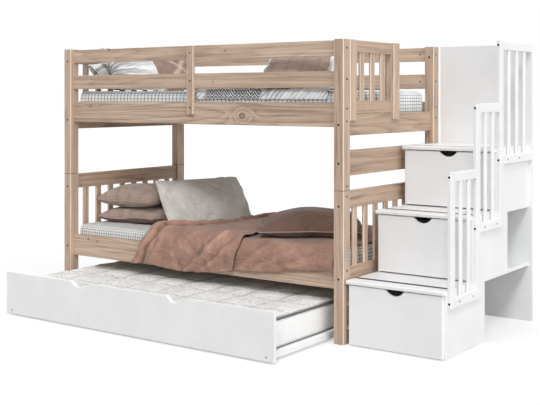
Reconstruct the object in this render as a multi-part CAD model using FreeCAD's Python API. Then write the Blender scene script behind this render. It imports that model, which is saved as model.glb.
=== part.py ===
"""Twin bunk bed with a storage staircase, three drawers and a rolling trundle bed.

Everything is in millimetres.  While the pieces are made, X runs along the bed from the
outer face of the head posts towards the stairs, Y runs from the front face of the front
posts to the back, and Z is up from the floor.  At the end every piece is carried to the
part's own origin, which is the middle of the whole part's footprint on the floor.
"""
import FreeCAD, Part
import math
import os

# ---------------------------------------------------------------- bed frame
BED_LENGTH = 2020.0            # outer faces of the head posts to those of the foot posts
BED_WIDTH = 1072.0             # front face of the front posts to back face of the back posts
POST_X = 58.0
POST_Y = 66.7
LOWER_POST_HEIGHT = 773.5
UPPER_POST_HEIGHT = 765.3
POST_EASE = 4.0                # rounded long edges of the posts
RAIL_THICK = 22.0
RAIL_EASE = 3.0
RAIL_SETBACK = 24.0            # outer face of the side rails behind that of the posts
LOWER_RAIL_Z = 272.0
LOWER_RAIL_HEIGHT = 128.0
UPPER_RAIL_Z = 1093.0
UPPER_RAIL_HEIGHT = 125.0
GUARD_MID_Z = 1294.0
GUARD_MID_HEIGHT = 84.0
GUARD_TOP_Z = 1455.0
GUARD_TOP_HEIGHT = 79.5
BATTEN_WIDTH = 45.0
BATTEN_THICK = 18.5
BATTEN_Z = 1148.0
BATTEN_HEIGHT = 385.7

# ---------------------------------------------------------------- bed ends
END_RAIL_THICK = 22.0          # centred in the posts
LOWER_END_BOTTOM_Z = 271.5
LOWER_END_BOTTOM_HEIGHT = 112.0
LOWER_END_TOP_Z = 680.0
LOWER_END_TOP_HEIGHT = 89.0
UPPER_END_BOTTOM_Z = 1049.0
UPPER_END_BOTTOM_HEIGHT = 111.5
HEAD_TOP_HEIGHT = 88.0         # its upper edge is level with the tops of the posts
FOOT_BOARD_Z = 845.0
FOOT_BOARD_HEIGHT = 130.0
SLAT_THICK = 12.0
SLAT_WIDTH = 44.0
SLAT_EASE = 3.0
END_SLAT_COUNT = 8
TENON = 12.0                   # how far a slat is let into each rail
MORTISE_CLEARANCE = 0.2

# ---------------------------------------------------------------- guard beside the entry
ENTRY_GUARD_WIDTH = 525.6
ENTRY_GUARD_GAP = 0.7          # beside the foot post
ENTRY_LAP_DROP = 34.5          # how far its posts lap down over the end rail
ENTRY_RAIL_INSET = 15.0        # its rails' outer face behind that of its posts
ENTRY_TOP_HEIGHT = 62.0
ENTRY_BOTTOM_HEIGHT = 65.5
ENTRY_SLAT_COUNT = 3

# ---------------------------------------------------------------- mattress supports
CLEAT_SIZE = 20.0
BED_SLAT_THICK = 18.0
BED_SLAT_WIDTH = 70.0
BED_SLAT_COUNT = 12
BED_SLAT_END_GAP = 0.5         # between a slat's end and the side rail
BED_SLAT_MARGIN = 20.0         # first slat from the posts' inner faces

# ---------------------------------------------------------------- fasteners
BOLT_R = 3.0
BOLT_HEAD_R = 6.0
BOLT_HEAD_T = 4.0
BOLT_SOCKET = 5.0              # across the flats
BOLT_SOCKET_DEPTH = 2.5
BOLT_BITE = 40.0               # rail's end to its barrel nut
BOLT_PAST_NUT = 7.0
BORE_CLEARANCE = 0.1
BARREL_R = 5.0
BARREL_LENGTH = 14.0
RAIL_BOLT_INSET = 30.5         # pair of bolts, from the side rail's edges
TOP_RAIL_BOLT_RISE = 14.0      # bolt above the lower edge of an end's top rail
STACK_PIN_R = 9.0
STACK_PIN_UP = 45.0
STACK_PIN_DOWN = 55.0
STACK_BOLT_UP = 22.5
STACK_BOLT_DOWN = 30.0
STACK_BOLT_LENGTH = 46.0
SPARE_BOLT_Z = 1478.0          # unused guard bolt in the back foot post
SPARE_BOLT_LENGTH = 40.0
SCREW_R = 2.5
SCREW_HEAD_R = 5.0
SCREW_HEAD_T = 3.0
SCREW_POINT = 3.0              # wood left past a screw's end

# ---------------------------------------------------------------- staircase
STAIR_GAP = 11.7               # between the bed and the stairs
STAIR_WIDTH = 536.3            # over both side panels
PANEL = 18.0
PANEL_EASE = 1.0
STEP_COUNT = 3
STEP_RUN = 298.0
STEP_RISE = 325.4
FIRST_TREAD_TOP = 327.0
BOX_DEPTH = 443.0
TREAD_THICK = 19.0
TREAD_NOSE = 11.7              # tread ahead of the drawer's face
TREAD_FRONT_BOARD = 89.0
TREAD_GAP = 25.0
TREAD_EASE = 5.0
BOX_BACK = 12.0
BACK_PANEL_OVERHANG = 2.0      # past the stair guards
STILE_WIDTH = 48.0
STILE_THICK = 19.0
STILE_EASE = 2.5
FIRST_STILE_SETBACK = 10.0     # from the first panel's front edge
STILE_PITCH = 293.0
GUARD_RISE = 561.0             # guard's top above its tread
GUARD_DROP = 84.0              # guard's lower edge below its tread
STAIR_TOP_RAIL = 45.0
STAIR_BOTTOM_RAIL = 46.0
STAIR_SLAT_WIDTH = 32.0
STAIR_SLAT_EASE = 4.0
STAIR_SLAT_COUNTS = (2, 2, 3)
STAIR_SCREW_FIRST = 106.0      # screws of a bottom rail, behind the panel's front edge
STAIR_SCREW_PITCH = 155.0
STAIR_BOLT_BITE = 35.0
DOWEL_R = 4.0
DOWEL_DEPTH = 15.0
LINK_R = 12.0
LINK_BITE = 25.0
LINK_Y = 50.0                  # links behind the front face, and ahead of the back face by 32
LINK_BACK_Y = 32.0
FRONT_LINKS_Z = (80.0, 200.0)
BACK_LINKS_Z = (845.0, 940.0)

# ---------------------------------------------------------------- drawers
FACE_THICK = 17.5
FACE_GAP = 0.5                 # between a shut drawer's face and the panels
FACE_SIDE_REVEAL = 13.0
FACE_BOTTOM_GAP = 7.0
FACE_TOP_GAP = 4.0
FACE_EASE = 1.5
PULL_CHORD = 107.0
PULL_DEPTH = 29.0
DRAWER_WALL = 12.0
DRAWER_BOTTOM = 6.0
DRAWER_SIDE_GAP = 12.5
DRAWER_RISE = 22.0             # drawer's underside above the floor of its bay
DRAWER_HEIGHT = 215.0
DRAWER_DEPTH = 400.0
RUNNER_SHEET = 1.5
RUNNER_LEG = 22.0
RUNNER_GAP = 0.3
RUNNER_SETBACK = 5.0

# ---------------------------------------------------------------- trundle
TRUNDLE_OUT = 503.0            # front face ahead of the posts, as it stands
TRUNDLE_FACE_LENGTH = 1880.0
TRUNDLE_FACE_Z = 8.0
TRUNDLE_FACE_HEIGHT = 238.0
TRUNDLE_FACE_THICK = 20.0
TRUNDLE_FACE_EASE = 2.0
TRUNDLE_DEPTH = 1013.0
SCOOP_OFFSET = 343.5           # each hand scoop from the middle
SCOOP_WIDTH = 140.0
SCOOP_DEPTH = 33.0
SCOOP_FLAT = 84.0              # width at the start of its round bottom
SCOOP_SHOULDER = 24.0          # depth there
TRUNDLE_RAIL_THICK = 22.0
TRUNDLE_RAIL_Z = 12.0
TRUNDLE_RAIL_HEIGHT = 34.0
TRUNDLE_BOLT_INSET = 45.0      # rail's middle from the face's end
TRUNDLE_CLEAT = 16.0
TRUNDLE_SLAT_THICK = 12.0
TRUNDLE_SLAT_WIDTH = 60.0
TRUNDLE_SLAT_COUNT = 11
TRUNDLE_SLAT_MARGIN = 45.0
WHEEL_R = 19.0
WHEEL_WIDTH = 16.0
WHEEL_SIDE_GAP = 1.0
WHEEL_EASE = 3.0
AXLE_R = 4.0
AXLE_CLEARANCE = 0.05
AXLE_CAP_R = 7.0
AXLE_CAP = 2.0
CASTER_PLATE = 3.0
CASTER_PLATE_LENGTH = 50.0
WHEEL_INSET = 85.0             # axle from the inner faces of the trundle's front and back

# ---------------------------------------------------------------- bedding
SOFT_GAP = 0.3
MATTRESS_LENGTH = 1896.0
MATTRESS_WIDTH = 965.0
MATTRESS_THICK = 152.0
MATTRESS_EASE = 25.0
TRUNDLE_MATTRESS_THICK = 150.0
TRUNDLE_MATTRESS_SIDE_GAP = 2.0
TRUNDLE_MATTRESS_EASE = 15.0
QUILT_LOW = 6.0                # quilt's thickness at a stitched line
QUILT_PUFF = 15.0              # and its extra height in the middle of a puff
QUILT_CELLS_X = 8
QUILT_CELLS_Y = 5
QUILT_EDGE_INSET = 8.0
BLANKET_THICK = 9.0
BLANKET_DOUBLE = 18.0
BLANKET_BULGE = 12.0
BULGE_RANGE = (0.35, 1.0)      # shares of the bulge at alternate sections
LOWER_BLANKET_START = 575.0    # near corner of the lower blanket, where its folded edge starts
FOLDED_EDGE = ((0.0, 15.0), (90.0, 120.0), (260.0, 220.0))  # its run back from that corner
LOWER_BLANKET_SHOULDER = 890.0  # where it reaches the far side of the bed
LOWER_BLANKET_FOLD = 1330.0    # where the doubled part ends
LOWER_BLANKET_FOLD_SLOPE = 12.0
LOWER_BLANKET_END_GAP = 6.0
DOUBLE_HEMS = (278.0, 283.0, 270.0, 268.0, 276.0, 297.0)
SINGLE_HEMS = (306.0, 318.0, 330.0, 346.0, 364.0)
UPPER_BLANKET_START = 985.0
UPPER_BLANKET_THICK = 5.0
UPPER_BLANKET_PUFF = 14.0
UPPER_BLANKET_DROP = 50.0
UPPER_BLANKET_END_GAP = 60.0
UPPER_BLANKET_SECTIONS = 9
CUSHION_STATIONS = ((-0.5, 0.10), (-0.44, 0.48), (-0.3, 0.84), (0.0, 1.0),
                    (0.3, 0.84), (0.44, 0.48), (0.5, 0.10))
CUSHION_UPPER = 0.6            # share of a cushion's thickness above its seam
SEATING_STEPS = 4              # moves that bring a soft piece down on an uneven one

# Each pillow: width, depth, thickness and drawn-in sides, then the place of its middle,
# how far it is turned from the bed's length, and how far it leans.
STACK_LOWER_CUSHION = (420.0, 450.0, 95.0, 16.0), (285.0, 445.0), 5.0, 0.0
STACK_UPPER_CUSHION = (390.0, 450.0, 140.0, 20.0), (258.0, 440.0), 7.0, 0.0
LARGE_PILLOW = (600.0, 312.0, 110.0, 12.0), (623.0, 604.0), 71.0, 53.0
FOOT_CUSHION = (560.0, 450.0, 130.0, 20.0), (1533.0, 446.0), 35.0, 0.0
HEAD_PILLOWS = (((400.0, 170.0, 120.0, 10.0), (150.0, 350.0), 88.0, 0.0),
                ((400.0, 330.0, 100.0, 12.0), (260.0, 336.0), 86.0, 53.0),
                ((380.0, 320.0, 100.0, 12.0), (238.0, 753.0), 88.0, 52.0))
FOOT_PILLOWS = (((430.0, 230.0, 90.0, 10.0), (1635.0, 267.0), 12.0, 50.0),
                ((300.0, 200.0, 80.0, 8.0), (1659.0, 152.0), 12.0, 50.0))

X_AXIS = FreeCAD.Vector(1, 0, 0)
Y_AXIS = FreeCAD.Vector(0, 1, 0)
Z_AXIS = FreeCAD.Vector(0, 0, 1)

# ---------------------------------------------------------------- places worked out from them
BED_HEIGHT = LOWER_POST_HEIGHT + UPPER_POST_HEIGHT
INNER_X0 = POST_X
INNER_X1 = BED_LENGTH - POST_X
INNER_Y0 = POST_Y
INNER_Y1 = BED_WIDTH - POST_Y
RAIL_FRONT = RAIL_SETBACK
RAIL_INNER_FRONT = RAIL_SETBACK + RAIL_THICK
RAIL_INNER_BACK = BED_WIDTH - RAIL_INNER_FRONT
RAIL_BOLT_Y = RAIL_SETBACK + RAIL_THICK / 2
END_RAIL_X0 = (POST_X - END_RAIL_THICK) / 2
END_BOLT_X = POST_X / 2
HEAD_TOP_Z = BED_HEIGHT - HEAD_TOP_HEIGHT
STAIR_X0 = BED_LENGTH + STAIR_GAP
STAIR_X1 = STAIR_X0 + STAIR_WIDTH
STAIR_Y0 = BED_WIDTH - BOX_DEPTH - (STEP_COUNT - 1) * STEP_RUN
GUARD_X1 = STAIR_X1 + STILE_THICK
BACK_PANEL_X1 = GUARD_X1 + BACK_PANEL_OVERHANG
BACK_PANEL_Y1 = BED_WIDTH + PANEL
ORIGIN = FreeCAD.Vector(BACK_PANEL_X1 / 2, (BACK_PANEL_Y1 - TRUNDLE_OUT) / 2, 0)

nodes = {}
bores = []


# ---------------------------------------------------------------- shapes used throughout
def box(x0, x1, y0, y1, z0, z1):
    """Plain block between two opposite corners."""
    return Part.makeBox(x1 - x0, y1 - y0, z1 - z0, FreeCAD.Vector(x0, y0, z0))


def board(x0, x1, y0, y1, z0, z1, axis, ease):
    """Block whose four edges along the axis are rounded, as planed timber is."""
    block = box(x0, x1, y0, y1, z0, z1)
    long_edges = []
    for edge in block.Edges:
        run = edge.Vertexes[1].Point.sub(edge.Vertexes[0].Point)
        if abs(run.dot(axis)) > 0.99 * edge.Length:
            long_edges.append(edge)
    return block.makeFillet(ease, long_edges)


def rod(radius, start, direction, length):
    """Cylinder from a start point along a direction."""
    return Part.makeCylinder(radius, length, start, direction)


def meets(one, other):
    """Whether the boxes round two shapes overlap."""
    return one.BoundBox.intersect(other.BoundBox)


def bored(solid):
    """The solid with every bore of a fastener that reaches it."""
    tools = [bore for bore in bores if meets(solid, bore)]
    return solid.cut(tools) if tools else solid


def spread(start, end, width, count):
    """Lower edges of equal pieces that share a span with equal gaps."""
    gap = (end - start - count * width) / (count + 1)
    return [start + gap + index * (gap + width) for index in range(count)]


def bolt(face, direction, length):
    """Socket-head bolt whose head is flush with the face that it enters."""
    body = rod(BOLT_HEAD_R, face, direction, BOLT_HEAD_T)
    body = body.fuse(rod(BOLT_R, face, direction, length))
    corners = [FreeCAD.Vector(BOLT_SOCKET / math.sqrt(3) * math.cos(turn * math.pi / 3),
                              BOLT_SOCKET / math.sqrt(3) * math.sin(turn * math.pi / 3), 0)
               for turn in range(7)]
    socket = Part.Face(Part.makePolygon(corners)).extrude(FreeCAD.Vector(0, 0, BOLT_SOCKET_DEPTH))
    socket.Placement = FreeCAD.Placement(face, FreeCAD.Rotation(Z_AXIS, direction))
    bores.append(rod(BOLT_HEAD_R + BORE_CLEARANCE, face, direction, BOLT_HEAD_T))
    bores.append(rod(BOLT_R + BORE_CLEARANCE, face, direction, length + BORE_CLEARANCE))
    return body.cut(socket)


def screw(face, direction, length):
    """Flat-head wood screw whose head is flush with the face that it enters."""
    head = Part.makeCone(SCREW_HEAD_R, SCREW_R, SCREW_HEAD_T, face, direction)
    bores.append(Part.makeCone(SCREW_HEAD_R + BORE_CLEARANCE, SCREW_R + BORE_CLEARANCE,
                               SCREW_HEAD_T, face, direction))
    bores.append(rod(SCREW_R + BORE_CLEARANCE, face, direction, length + BORE_CLEARANCE))
    return head.fuse(rod(SCREW_R, face, direction, length))


def barrel_nut(middle, across, bolt_direction, depth_to_face):
    """Cross nut inside a rail, put in from the rail's hidden face."""
    start = middle - across * (BARREL_LENGTH / 2)
    nut = rod(BARREL_R, start, across, BARREL_LENGTH)
    reach = BARREL_R + BORE_CLEARANCE
    nut = nut.cut(rod(BOLT_R + BORE_CLEARANCE, middle - bolt_direction * reach,
                      bolt_direction, 2 * reach))
    bores.append(rod(BARREL_R + BORE_CLEARANCE, start - across * BORE_CLEARANCE, across,
                     BARREL_LENGTH / 2 + BORE_CLEARANCE + depth_to_face))
    return nut


# ---------------------------------------------------------------- bolts of the bed
def make_bed_fasteners():
    """Bolts and barrel nuts of the four corners, worked out before what they pass through."""
    bolts = []
    nuts = []
    guard_heights = [GUARD_TOP_Z + GUARD_TOP_HEIGHT / 2, GUARD_MID_Z + GUARD_MID_HEIGHT / 2]
    rail_heights = []
    for low, height in ((LOWER_RAIL_Z, LOWER_RAIL_HEIGHT), (UPPER_RAIL_Z, UPPER_RAIL_HEIGHT)):
        rail_heights += [low + RAIL_BOLT_INSET, low + height - RAIL_BOLT_INSET]
    stack_heights = [LOWER_POST_HEIGHT - STACK_BOLT_DOWN, LOWER_POST_HEIGHT + STACK_BOLT_UP]
    for post_face, inward in ((0.0, X_AXIS), (BED_LENGTH, X_AXIS * -1)):
        for y, across in ((RAIL_BOLT_Y, Y_AXIS), (BED_WIDTH - RAIL_BOLT_Y, Y_AXIS * -1)):
            for z in rail_heights + guard_heights:
                face = FreeCAD.Vector(post_face, y, z)
                bolts.append(bolt(face, inward, POST_X + BOLT_BITE + BOLT_PAST_NUT))
                middle = face + inward * (POST_X + BOLT_BITE)
                nuts.append(barrel_nut(middle, across, inward, RAIL_THICK / 2))
            for z in stack_heights:
                bolts.append(bolt(FreeCAD.Vector(post_face, y, z), inward, STACK_BOLT_LENGTH))
    lower_middle = LOWER_END_BOTTOM_Z + LOWER_END_BOTTOM_HEIGHT / 2
    upper_middle = UPPER_END_BOTTOM_Z + UPPER_END_BOTTOM_HEIGHT / 2
    head_heights = [lower_middle, LOWER_END_TOP_Z + TOP_RAIL_BOLT_RISE,
                    upper_middle, HEAD_TOP_Z + TOP_RAIL_BOLT_RISE]
    foot_heights = [lower_middle, LOWER_END_TOP_Z + TOP_RAIL_BOLT_RISE,
                    upper_middle, FOOT_BOARD_Z + FOOT_BOARD_HEIGHT / 2]
    for x, across, heights in ((END_BOLT_X, X_AXIS, head_heights),
                               (BED_LENGTH - END_BOLT_X, X_AXIS * -1, foot_heights)):
        for post_face, inward in ((0.0, Y_AXIS), (BED_WIDTH, Y_AXIS * -1)):
            for z in heights:
                face = FreeCAD.Vector(x, post_face, z)
                bolts.append(bolt(face, inward, POST_Y + BOLT_BITE + BOLT_PAST_NUT))
                middle = face + inward * (POST_Y + BOLT_BITE)
                nuts.append(barrel_nut(middle, across, inward, END_RAIL_THICK / 2))
    spare = FreeCAD.Vector(BED_LENGTH - END_BOLT_X, INNER_Y1, SPARE_BOLT_Z)
    bolts.append(bolt(spare, Y_AXIS, SPARE_BOLT_LENGTH))
    screws = []
    batten_face = RAIL_FRONT - BATTEN_THICK
    screw_heights = [UPPER_RAIL_Z + UPPER_RAIL_HEIGHT - RAIL_BOLT_INSET] + guard_heights
    length = BATTEN_THICK + RAIL_THICK - SCREW_POINT
    for y, inward in ((batten_face, Y_AXIS), (BED_WIDTH - batten_face, Y_AXIS * -1)):
        for z in screw_heights:
            screws.append(screw(FreeCAD.Vector(BED_LENGTH / 2, y, z), inward, length))
    nodes["frame_bolts_and_screws"] = bolts + screws
    nodes["barrel_nuts_and_pins"] = nuts


# ---------------------------------------------------------------- bed frame
def make_posts():
    """Four lower posts, four upper posts stacked on them, and the pins between."""
    pins = []
    for place, x0, y0 in (("front_head", 0.0, 0.0), ("front_foot", INNER_X1, 0.0),
                          ("back_head", 0.0, INNER_Y1), ("back_foot", INNER_X1, INNER_Y1)):
        foot = FreeCAD.Vector(x0 + POST_X / 2, y0 + POST_Y / 2, LOWER_POST_HEIGHT - STACK_PIN_DOWN)
        pin = rod(STACK_PIN_R, foot, Z_AXIS, STACK_PIN_DOWN + STACK_PIN_UP)
        socket = rod(STACK_PIN_R + BORE_CLEARANCE, foot - Z_AXIS * BORE_CLEARANCE, Z_AXIS,
                     STACK_PIN_DOWN + STACK_PIN_UP + 2 * BORE_CLEARANCE)
        pins.append(bored(pin))
        lower = board(x0, x0 + POST_X, y0, y0 + POST_Y, 0.0, LOWER_POST_HEIGHT, Z_AXIS, POST_EASE)
        upper = board(x0, x0 + POST_X, y0, y0 + POST_Y, LOWER_POST_HEIGHT, BED_HEIGHT,
                      Z_AXIS, POST_EASE)
        nodes["lower_post_" + place] = [bored(lower.cut(socket))]
        nodes["upper_post_" + place] = [bored(upper.cut(socket))]
    nodes["barrel_nuts_and_pins"] += pins


def side_rail_pair(z, height):
    """The same rail at the front and at the back of the bed."""
    pair = []
    for y0 in (RAIL_FRONT, RAIL_INNER_BACK):
        rail = board(INNER_X0, INNER_X1, y0, y0 + RAIL_THICK, z, z + height, X_AXIS, RAIL_EASE)
        pair.append(bored(rail))
    return pair


def make_sides():
    """Side rails of both beds, the guard rails and the upright battens that tie them."""
    nodes["lower_side_rails"] = side_rail_pair(LOWER_RAIL_Z, LOWER_RAIL_HEIGHT)
    nodes["upper_side_rails"] = side_rail_pair(UPPER_RAIL_Z, UPPER_RAIL_HEIGHT)
    nodes["guard_rails"] = (side_rail_pair(GUARD_MID_Z, GUARD_MID_HEIGHT)
                            + side_rail_pair(GUARD_TOP_Z, GUARD_TOP_HEIGHT))
    x0 = (BED_LENGTH - BATTEN_WIDTH) / 2
    battens = []
    for y0 in (RAIL_FRONT - BATTEN_THICK, BED_WIDTH - RAIL_FRONT):
        batten = board(x0, x0 + BATTEN_WIDTH, y0, y0 + BATTEN_THICK,
                       BATTEN_Z, BATTEN_Z + BATTEN_HEIGHT, Z_AXIS, RAIL_EASE)
        battens.append(bored(batten))
    nodes["guard_battens"] = battens


def end_rail(x0, z, height):
    """Rail between a front and a back post."""
    return board(x0, x0 + END_RAIL_THICK, INNER_Y0, INNER_Y1, z, z + height, Y_AXIS, RAIL_EASE)


def slatted(lower, upper, x_middle, starts, width, z0, z1, ease):
    """Upright slats tenoned into a lower and an upper rail, and the two mortised rails."""
    slats = []
    for y in starts:
        slats.append(board(x_middle - SLAT_THICK / 2, x_middle + SLAT_THICK / 2, y, y + width,
                           z0 - TENON, z1 + TENON, Z_AXIS, ease))
    gap = MORTISE_CLEARANCE
    mortises = [box(x_middle - SLAT_THICK / 2 - gap, x_middle + SLAT_THICK / 2 + gap,
                    y - gap, y + width + gap, z0 - TENON - gap, z1 + TENON + gap) for y in starts]
    return slats, lower.cut(mortises), upper.cut(mortises)


def make_ends():
    """Slatted ends of the lower bed, slatted head and boarded foot of the upper bed."""
    starts = spread(INNER_Y0, INNER_Y1, SLAT_WIDTH, END_SLAT_COUNT)
    lower_z = LOWER_END_BOTTOM_Z + LOWER_END_BOTTOM_HEIGHT
    upper_z = UPPER_END_BOTTOM_Z + UPPER_END_BOTTOM_HEIGHT
    rails = []
    slats = []
    foot_x0 = BED_LENGTH - END_RAIL_X0 - END_RAIL_THICK
    for x0 in (END_RAIL_X0, foot_x0):
        made, bottom, top = slatted(
            end_rail(x0, LOWER_END_BOTTOM_Z, LOWER_END_BOTTOM_HEIGHT),
            end_rail(x0, LOWER_END_TOP_Z, LOWER_END_TOP_HEIGHT),
            x0 + END_RAIL_THICK / 2, starts, SLAT_WIDTH, lower_z, LOWER_END_TOP_Z, SLAT_EASE)
        slats += made
        rails += [bored(bottom), bored(top)]
    nodes["lower_end_rails"] = rails

    made, bottom, top = slatted(
        end_rail(END_RAIL_X0, UPPER_END_BOTTOM_Z, UPPER_END_BOTTOM_HEIGHT),
        end_rail(END_RAIL_X0, HEAD_TOP_Z, HEAD_TOP_HEIGHT),
        END_RAIL_X0 + END_RAIL_THICK / 2, starts, SLAT_WIDTH, upper_z, HEAD_TOP_Z, SLAT_EASE)
    nodes["upper_head_rails"] = [bored(bottom), bored(top)]
    nodes["end_slats"] = slats + made
    nodes["upper_foot_rails"] = [
        bored(end_rail(foot_x0, UPPER_END_BOTTOM_Z, UPPER_END_BOTTOM_HEIGHT)),
        bored(end_rail(foot_x0, FOOT_BOARD_Z, FOOT_BOARD_HEIGHT))]


def make_entry_guard():
    """Short slatted guard beside the way in from the stairs, lapped over the foot rail."""
    seat_z = UPPER_END_BOTTOM_Z + UPPER_END_BOTTOM_HEIGHT
    rail_face = BED_LENGTH - END_RAIL_X0
    y0 = INNER_Y0 + ENTRY_GUARD_GAP
    y1 = y0 + ENTRY_GUARD_WIDTH
    posts = []
    for start in (y0, y1 - POST_Y):
        post = board(INNER_X1, BED_LENGTH, start, start + POST_Y, seat_z - ENTRY_LAP_DROP,
                     BED_HEIGHT, Z_AXIS, POST_EASE)
        lap = box(INNER_X1 - POST_EASE, rail_face, start - POST_EASE, start + POST_Y + POST_EASE,
                  seat_z - ENTRY_LAP_DROP - POST_EASE, seat_z)
        posts.append(post.cut(lap))
    nodes["entry_guard_posts"] = posts
    x1 = BED_LENGTH - ENTRY_RAIL_INSET
    x0 = x1 - END_RAIL_THICK
    top_z = BED_HEIGHT - ENTRY_TOP_HEIGHT
    bottom = board(x0, x1, y0 + POST_Y, y1 - POST_Y, seat_z, seat_z + ENTRY_BOTTOM_HEIGHT,
                   Y_AXIS, RAIL_EASE)
    top = board(x0, x1, y0 + POST_Y, y1 - POST_Y, top_z, BED_HEIGHT, Y_AXIS, RAIL_EASE)
    starts = spread(y0 + POST_Y, y1 - POST_Y, SLAT_WIDTH, ENTRY_SLAT_COUNT)
    slats, bottom, top = slatted(bottom, top, x0 + END_RAIL_THICK / 2, starts, SLAT_WIDTH,
                                 seat_z + ENTRY_BOTTOM_HEIGHT, top_z, SLAT_EASE)
    nodes["entry_guard_rails"] = [bottom, top]
    nodes["entry_guard_slats"] = slats


def make_mattress_supports():
    """Cleats along the side rails and the loose slats that lie on them."""
    cleats = []
    slats = []
    starts = [INNER_X0 + BED_SLAT_MARGIN + index
              * (INNER_X1 - INNER_X0 - 2 * BED_SLAT_MARGIN - BED_SLAT_WIDTH) / (BED_SLAT_COUNT - 1)
              for index in range(BED_SLAT_COUNT)]
    for rail_z in (LOWER_RAIL_Z, UPPER_RAIL_Z):
        slat_z = rail_z + CLEAT_SIZE
        for y0 in (RAIL_INNER_FRONT, RAIL_INNER_BACK - CLEAT_SIZE):
            cleats.append(box(INNER_X0 + BED_SLAT_END_GAP, INNER_X1 - BED_SLAT_END_GAP,
                              y0, y0 + CLEAT_SIZE, rail_z, slat_z))
        for x0 in starts:
            slats.append(board(x0, x0 + BED_SLAT_WIDTH, RAIL_INNER_FRONT + BED_SLAT_END_GAP,
                               RAIL_INNER_BACK - BED_SLAT_END_GAP, slat_z,
                               slat_z + BED_SLAT_THICK, Y_AXIS, SLAT_EASE))
    nodes["mattress_cleats"] = cleats
    nodes["bed_slats"] = slats


# ---------------------------------------------------------------- staircase
def tread_top(step):
    """Height of a tread's upper face; step 0 is the lowest."""
    return FIRST_TREAD_TOP + step * STEP_RISE


def bay_floor(step):
    """Height that a step's box stands on."""
    return 0.0 if step == 0 else tread_top(step - 1)


def panel_front(step):
    """Front edge of a step's side panels."""
    return STAIR_Y0 + step * STEP_RUN


def stile_front(index):
    """Front edge of an upright of the stair guards."""
    return STAIR_Y0 + FIRST_STILE_SETBACK + index * STILE_PITCH


def make_stair_fasteners():
    """Bolts, screws and dowels of the stair guards, and the links to the bed."""
    steel = []
    dowels = []
    links = []
    middle_x = STAIR_X1 + STILE_THICK / 2
    for step in range(STEP_COUNT):
        top_z = tread_top(step) + GUARD_RISE - STAIR_TOP_RAIL / 2
        bottom_z = tread_top(step) - GUARD_DROP + STAIR_BOTTOM_RAIL / 2
        for z in (top_z, bottom_z):
            face = FreeCAD.Vector(middle_x, stile_front(step), z)
            steel.append(bolt(face, Y_AXIS, STILE_WIDTH + STAIR_BOLT_BITE))
            last = step == STEP_COUNT - 1
            joint_y = BED_WIDTH if last else stile_front(step + 1)
            start = FreeCAD.Vector(middle_x, joint_y - DOWEL_DEPTH, z)
            dowels.append(rod(DOWEL_R, start, Y_AXIS, 2 * DOWEL_DEPTH))
            bores.append(rod(DOWEL_R + BORE_CLEARANCE, start - Y_AXIS * BORE_CLEARANCE, Y_AXIS,
                             2 * DOWEL_DEPTH + 2 * BORE_CLEARANCE))
        for index in range(2):
            y = panel_front(step) + STAIR_SCREW_FIRST + index * STAIR_SCREW_PITCH
            face = FreeCAD.Vector(GUARD_X1, y, bottom_z)
            steel.append(screw(face, X_AXIS * -1, STILE_THICK + PANEL - SCREW_POINT))
    places = [(LINK_Y, z) for z in FRONT_LINKS_Z]
    places += [(BED_WIDTH - LINK_BACK_Y, z) for z in BACK_LINKS_Z]
    for y, z in places:
        face = FreeCAD.Vector(STAIR_X0 + PANEL, y, z)
        steel.append(bolt(face, X_AXIS * -1, PANEL + STAIR_GAP + LINK_BITE))
        spacer = rod(LINK_R, FreeCAD.Vector(BED_LENGTH, y, z), X_AXIS, STAIR_GAP)
        links.append(bored(spacer))
    nodes["stair_bolts"] = steel
    nodes["stair_dowels_and_spacers"] = dowels + links


def make_stair_boxes():
    """Side panels, backs, treads and shelves of the three stacked boxes, and the back panel."""
    bed_side = []
    open_side = []
    backs = []
    treads = []
    shelves = []
    for step in range(STEP_COUNT):
        floor = bay_floor(step)
        under = tread_top(step) - TREAD_THICK
        front = panel_front(step)
        rear = front + BOX_DEPTH
        bed_side.append(bored(board(STAIR_X0, STAIR_X0 + PANEL, front, BED_WIDTH, floor, under,
                                    Z_AXIS, PANEL_EASE)))
        open_side.append(bored(board(STAIR_X1 - PANEL, STAIR_X1, front, rear, floor, under,
                                     Z_AXIS, PANEL_EASE)))
        if step < STEP_COUNT - 1:
            backs.append(box(STAIR_X0 + PANEL, STAIR_X1 - PANEL, rear - BOX_BACK, rear,
                             floor, under))
        nose = front - FACE_GAP - FACE_THICK - TREAD_NOSE
        second = nose + TREAD_FRONT_BOARD + TREAD_GAP
        last = step == STEP_COUNT - 1
        tread_end = BED_WIDTH if last else panel_front(step + 1)
        for y0, y1 in ((nose, nose + TREAD_FRONT_BOARD), (second, tread_end)):
            treads.append(board(STAIR_X0, STAIR_X1, y0, y1, under, tread_top(step),
                                X_AXIS, TREAD_EASE))
        if not last:
            shelves.append(board(STAIR_X0, STAIR_X1, tread_end, BED_WIDTH, under,
                                 tread_top(step), Y_AXIS, PANEL_EASE))
    nodes["stair_panels_bed_side"] = bed_side
    nodes["stair_panels_open_side"] = open_side
    nodes["stair_box_backs"] = backs
    nodes["stair_treads"] = treads
    nodes["stair_shelves"] = shelves
    back = board(STAIR_X0, BACK_PANEL_X1, BED_WIDTH, BACK_PANEL_Y1, 0.0, BED_HEIGHT,
                 Z_AXIS, PANEL_EASE)
    nodes["stair_back_panel"] = [bored(back)]


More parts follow.
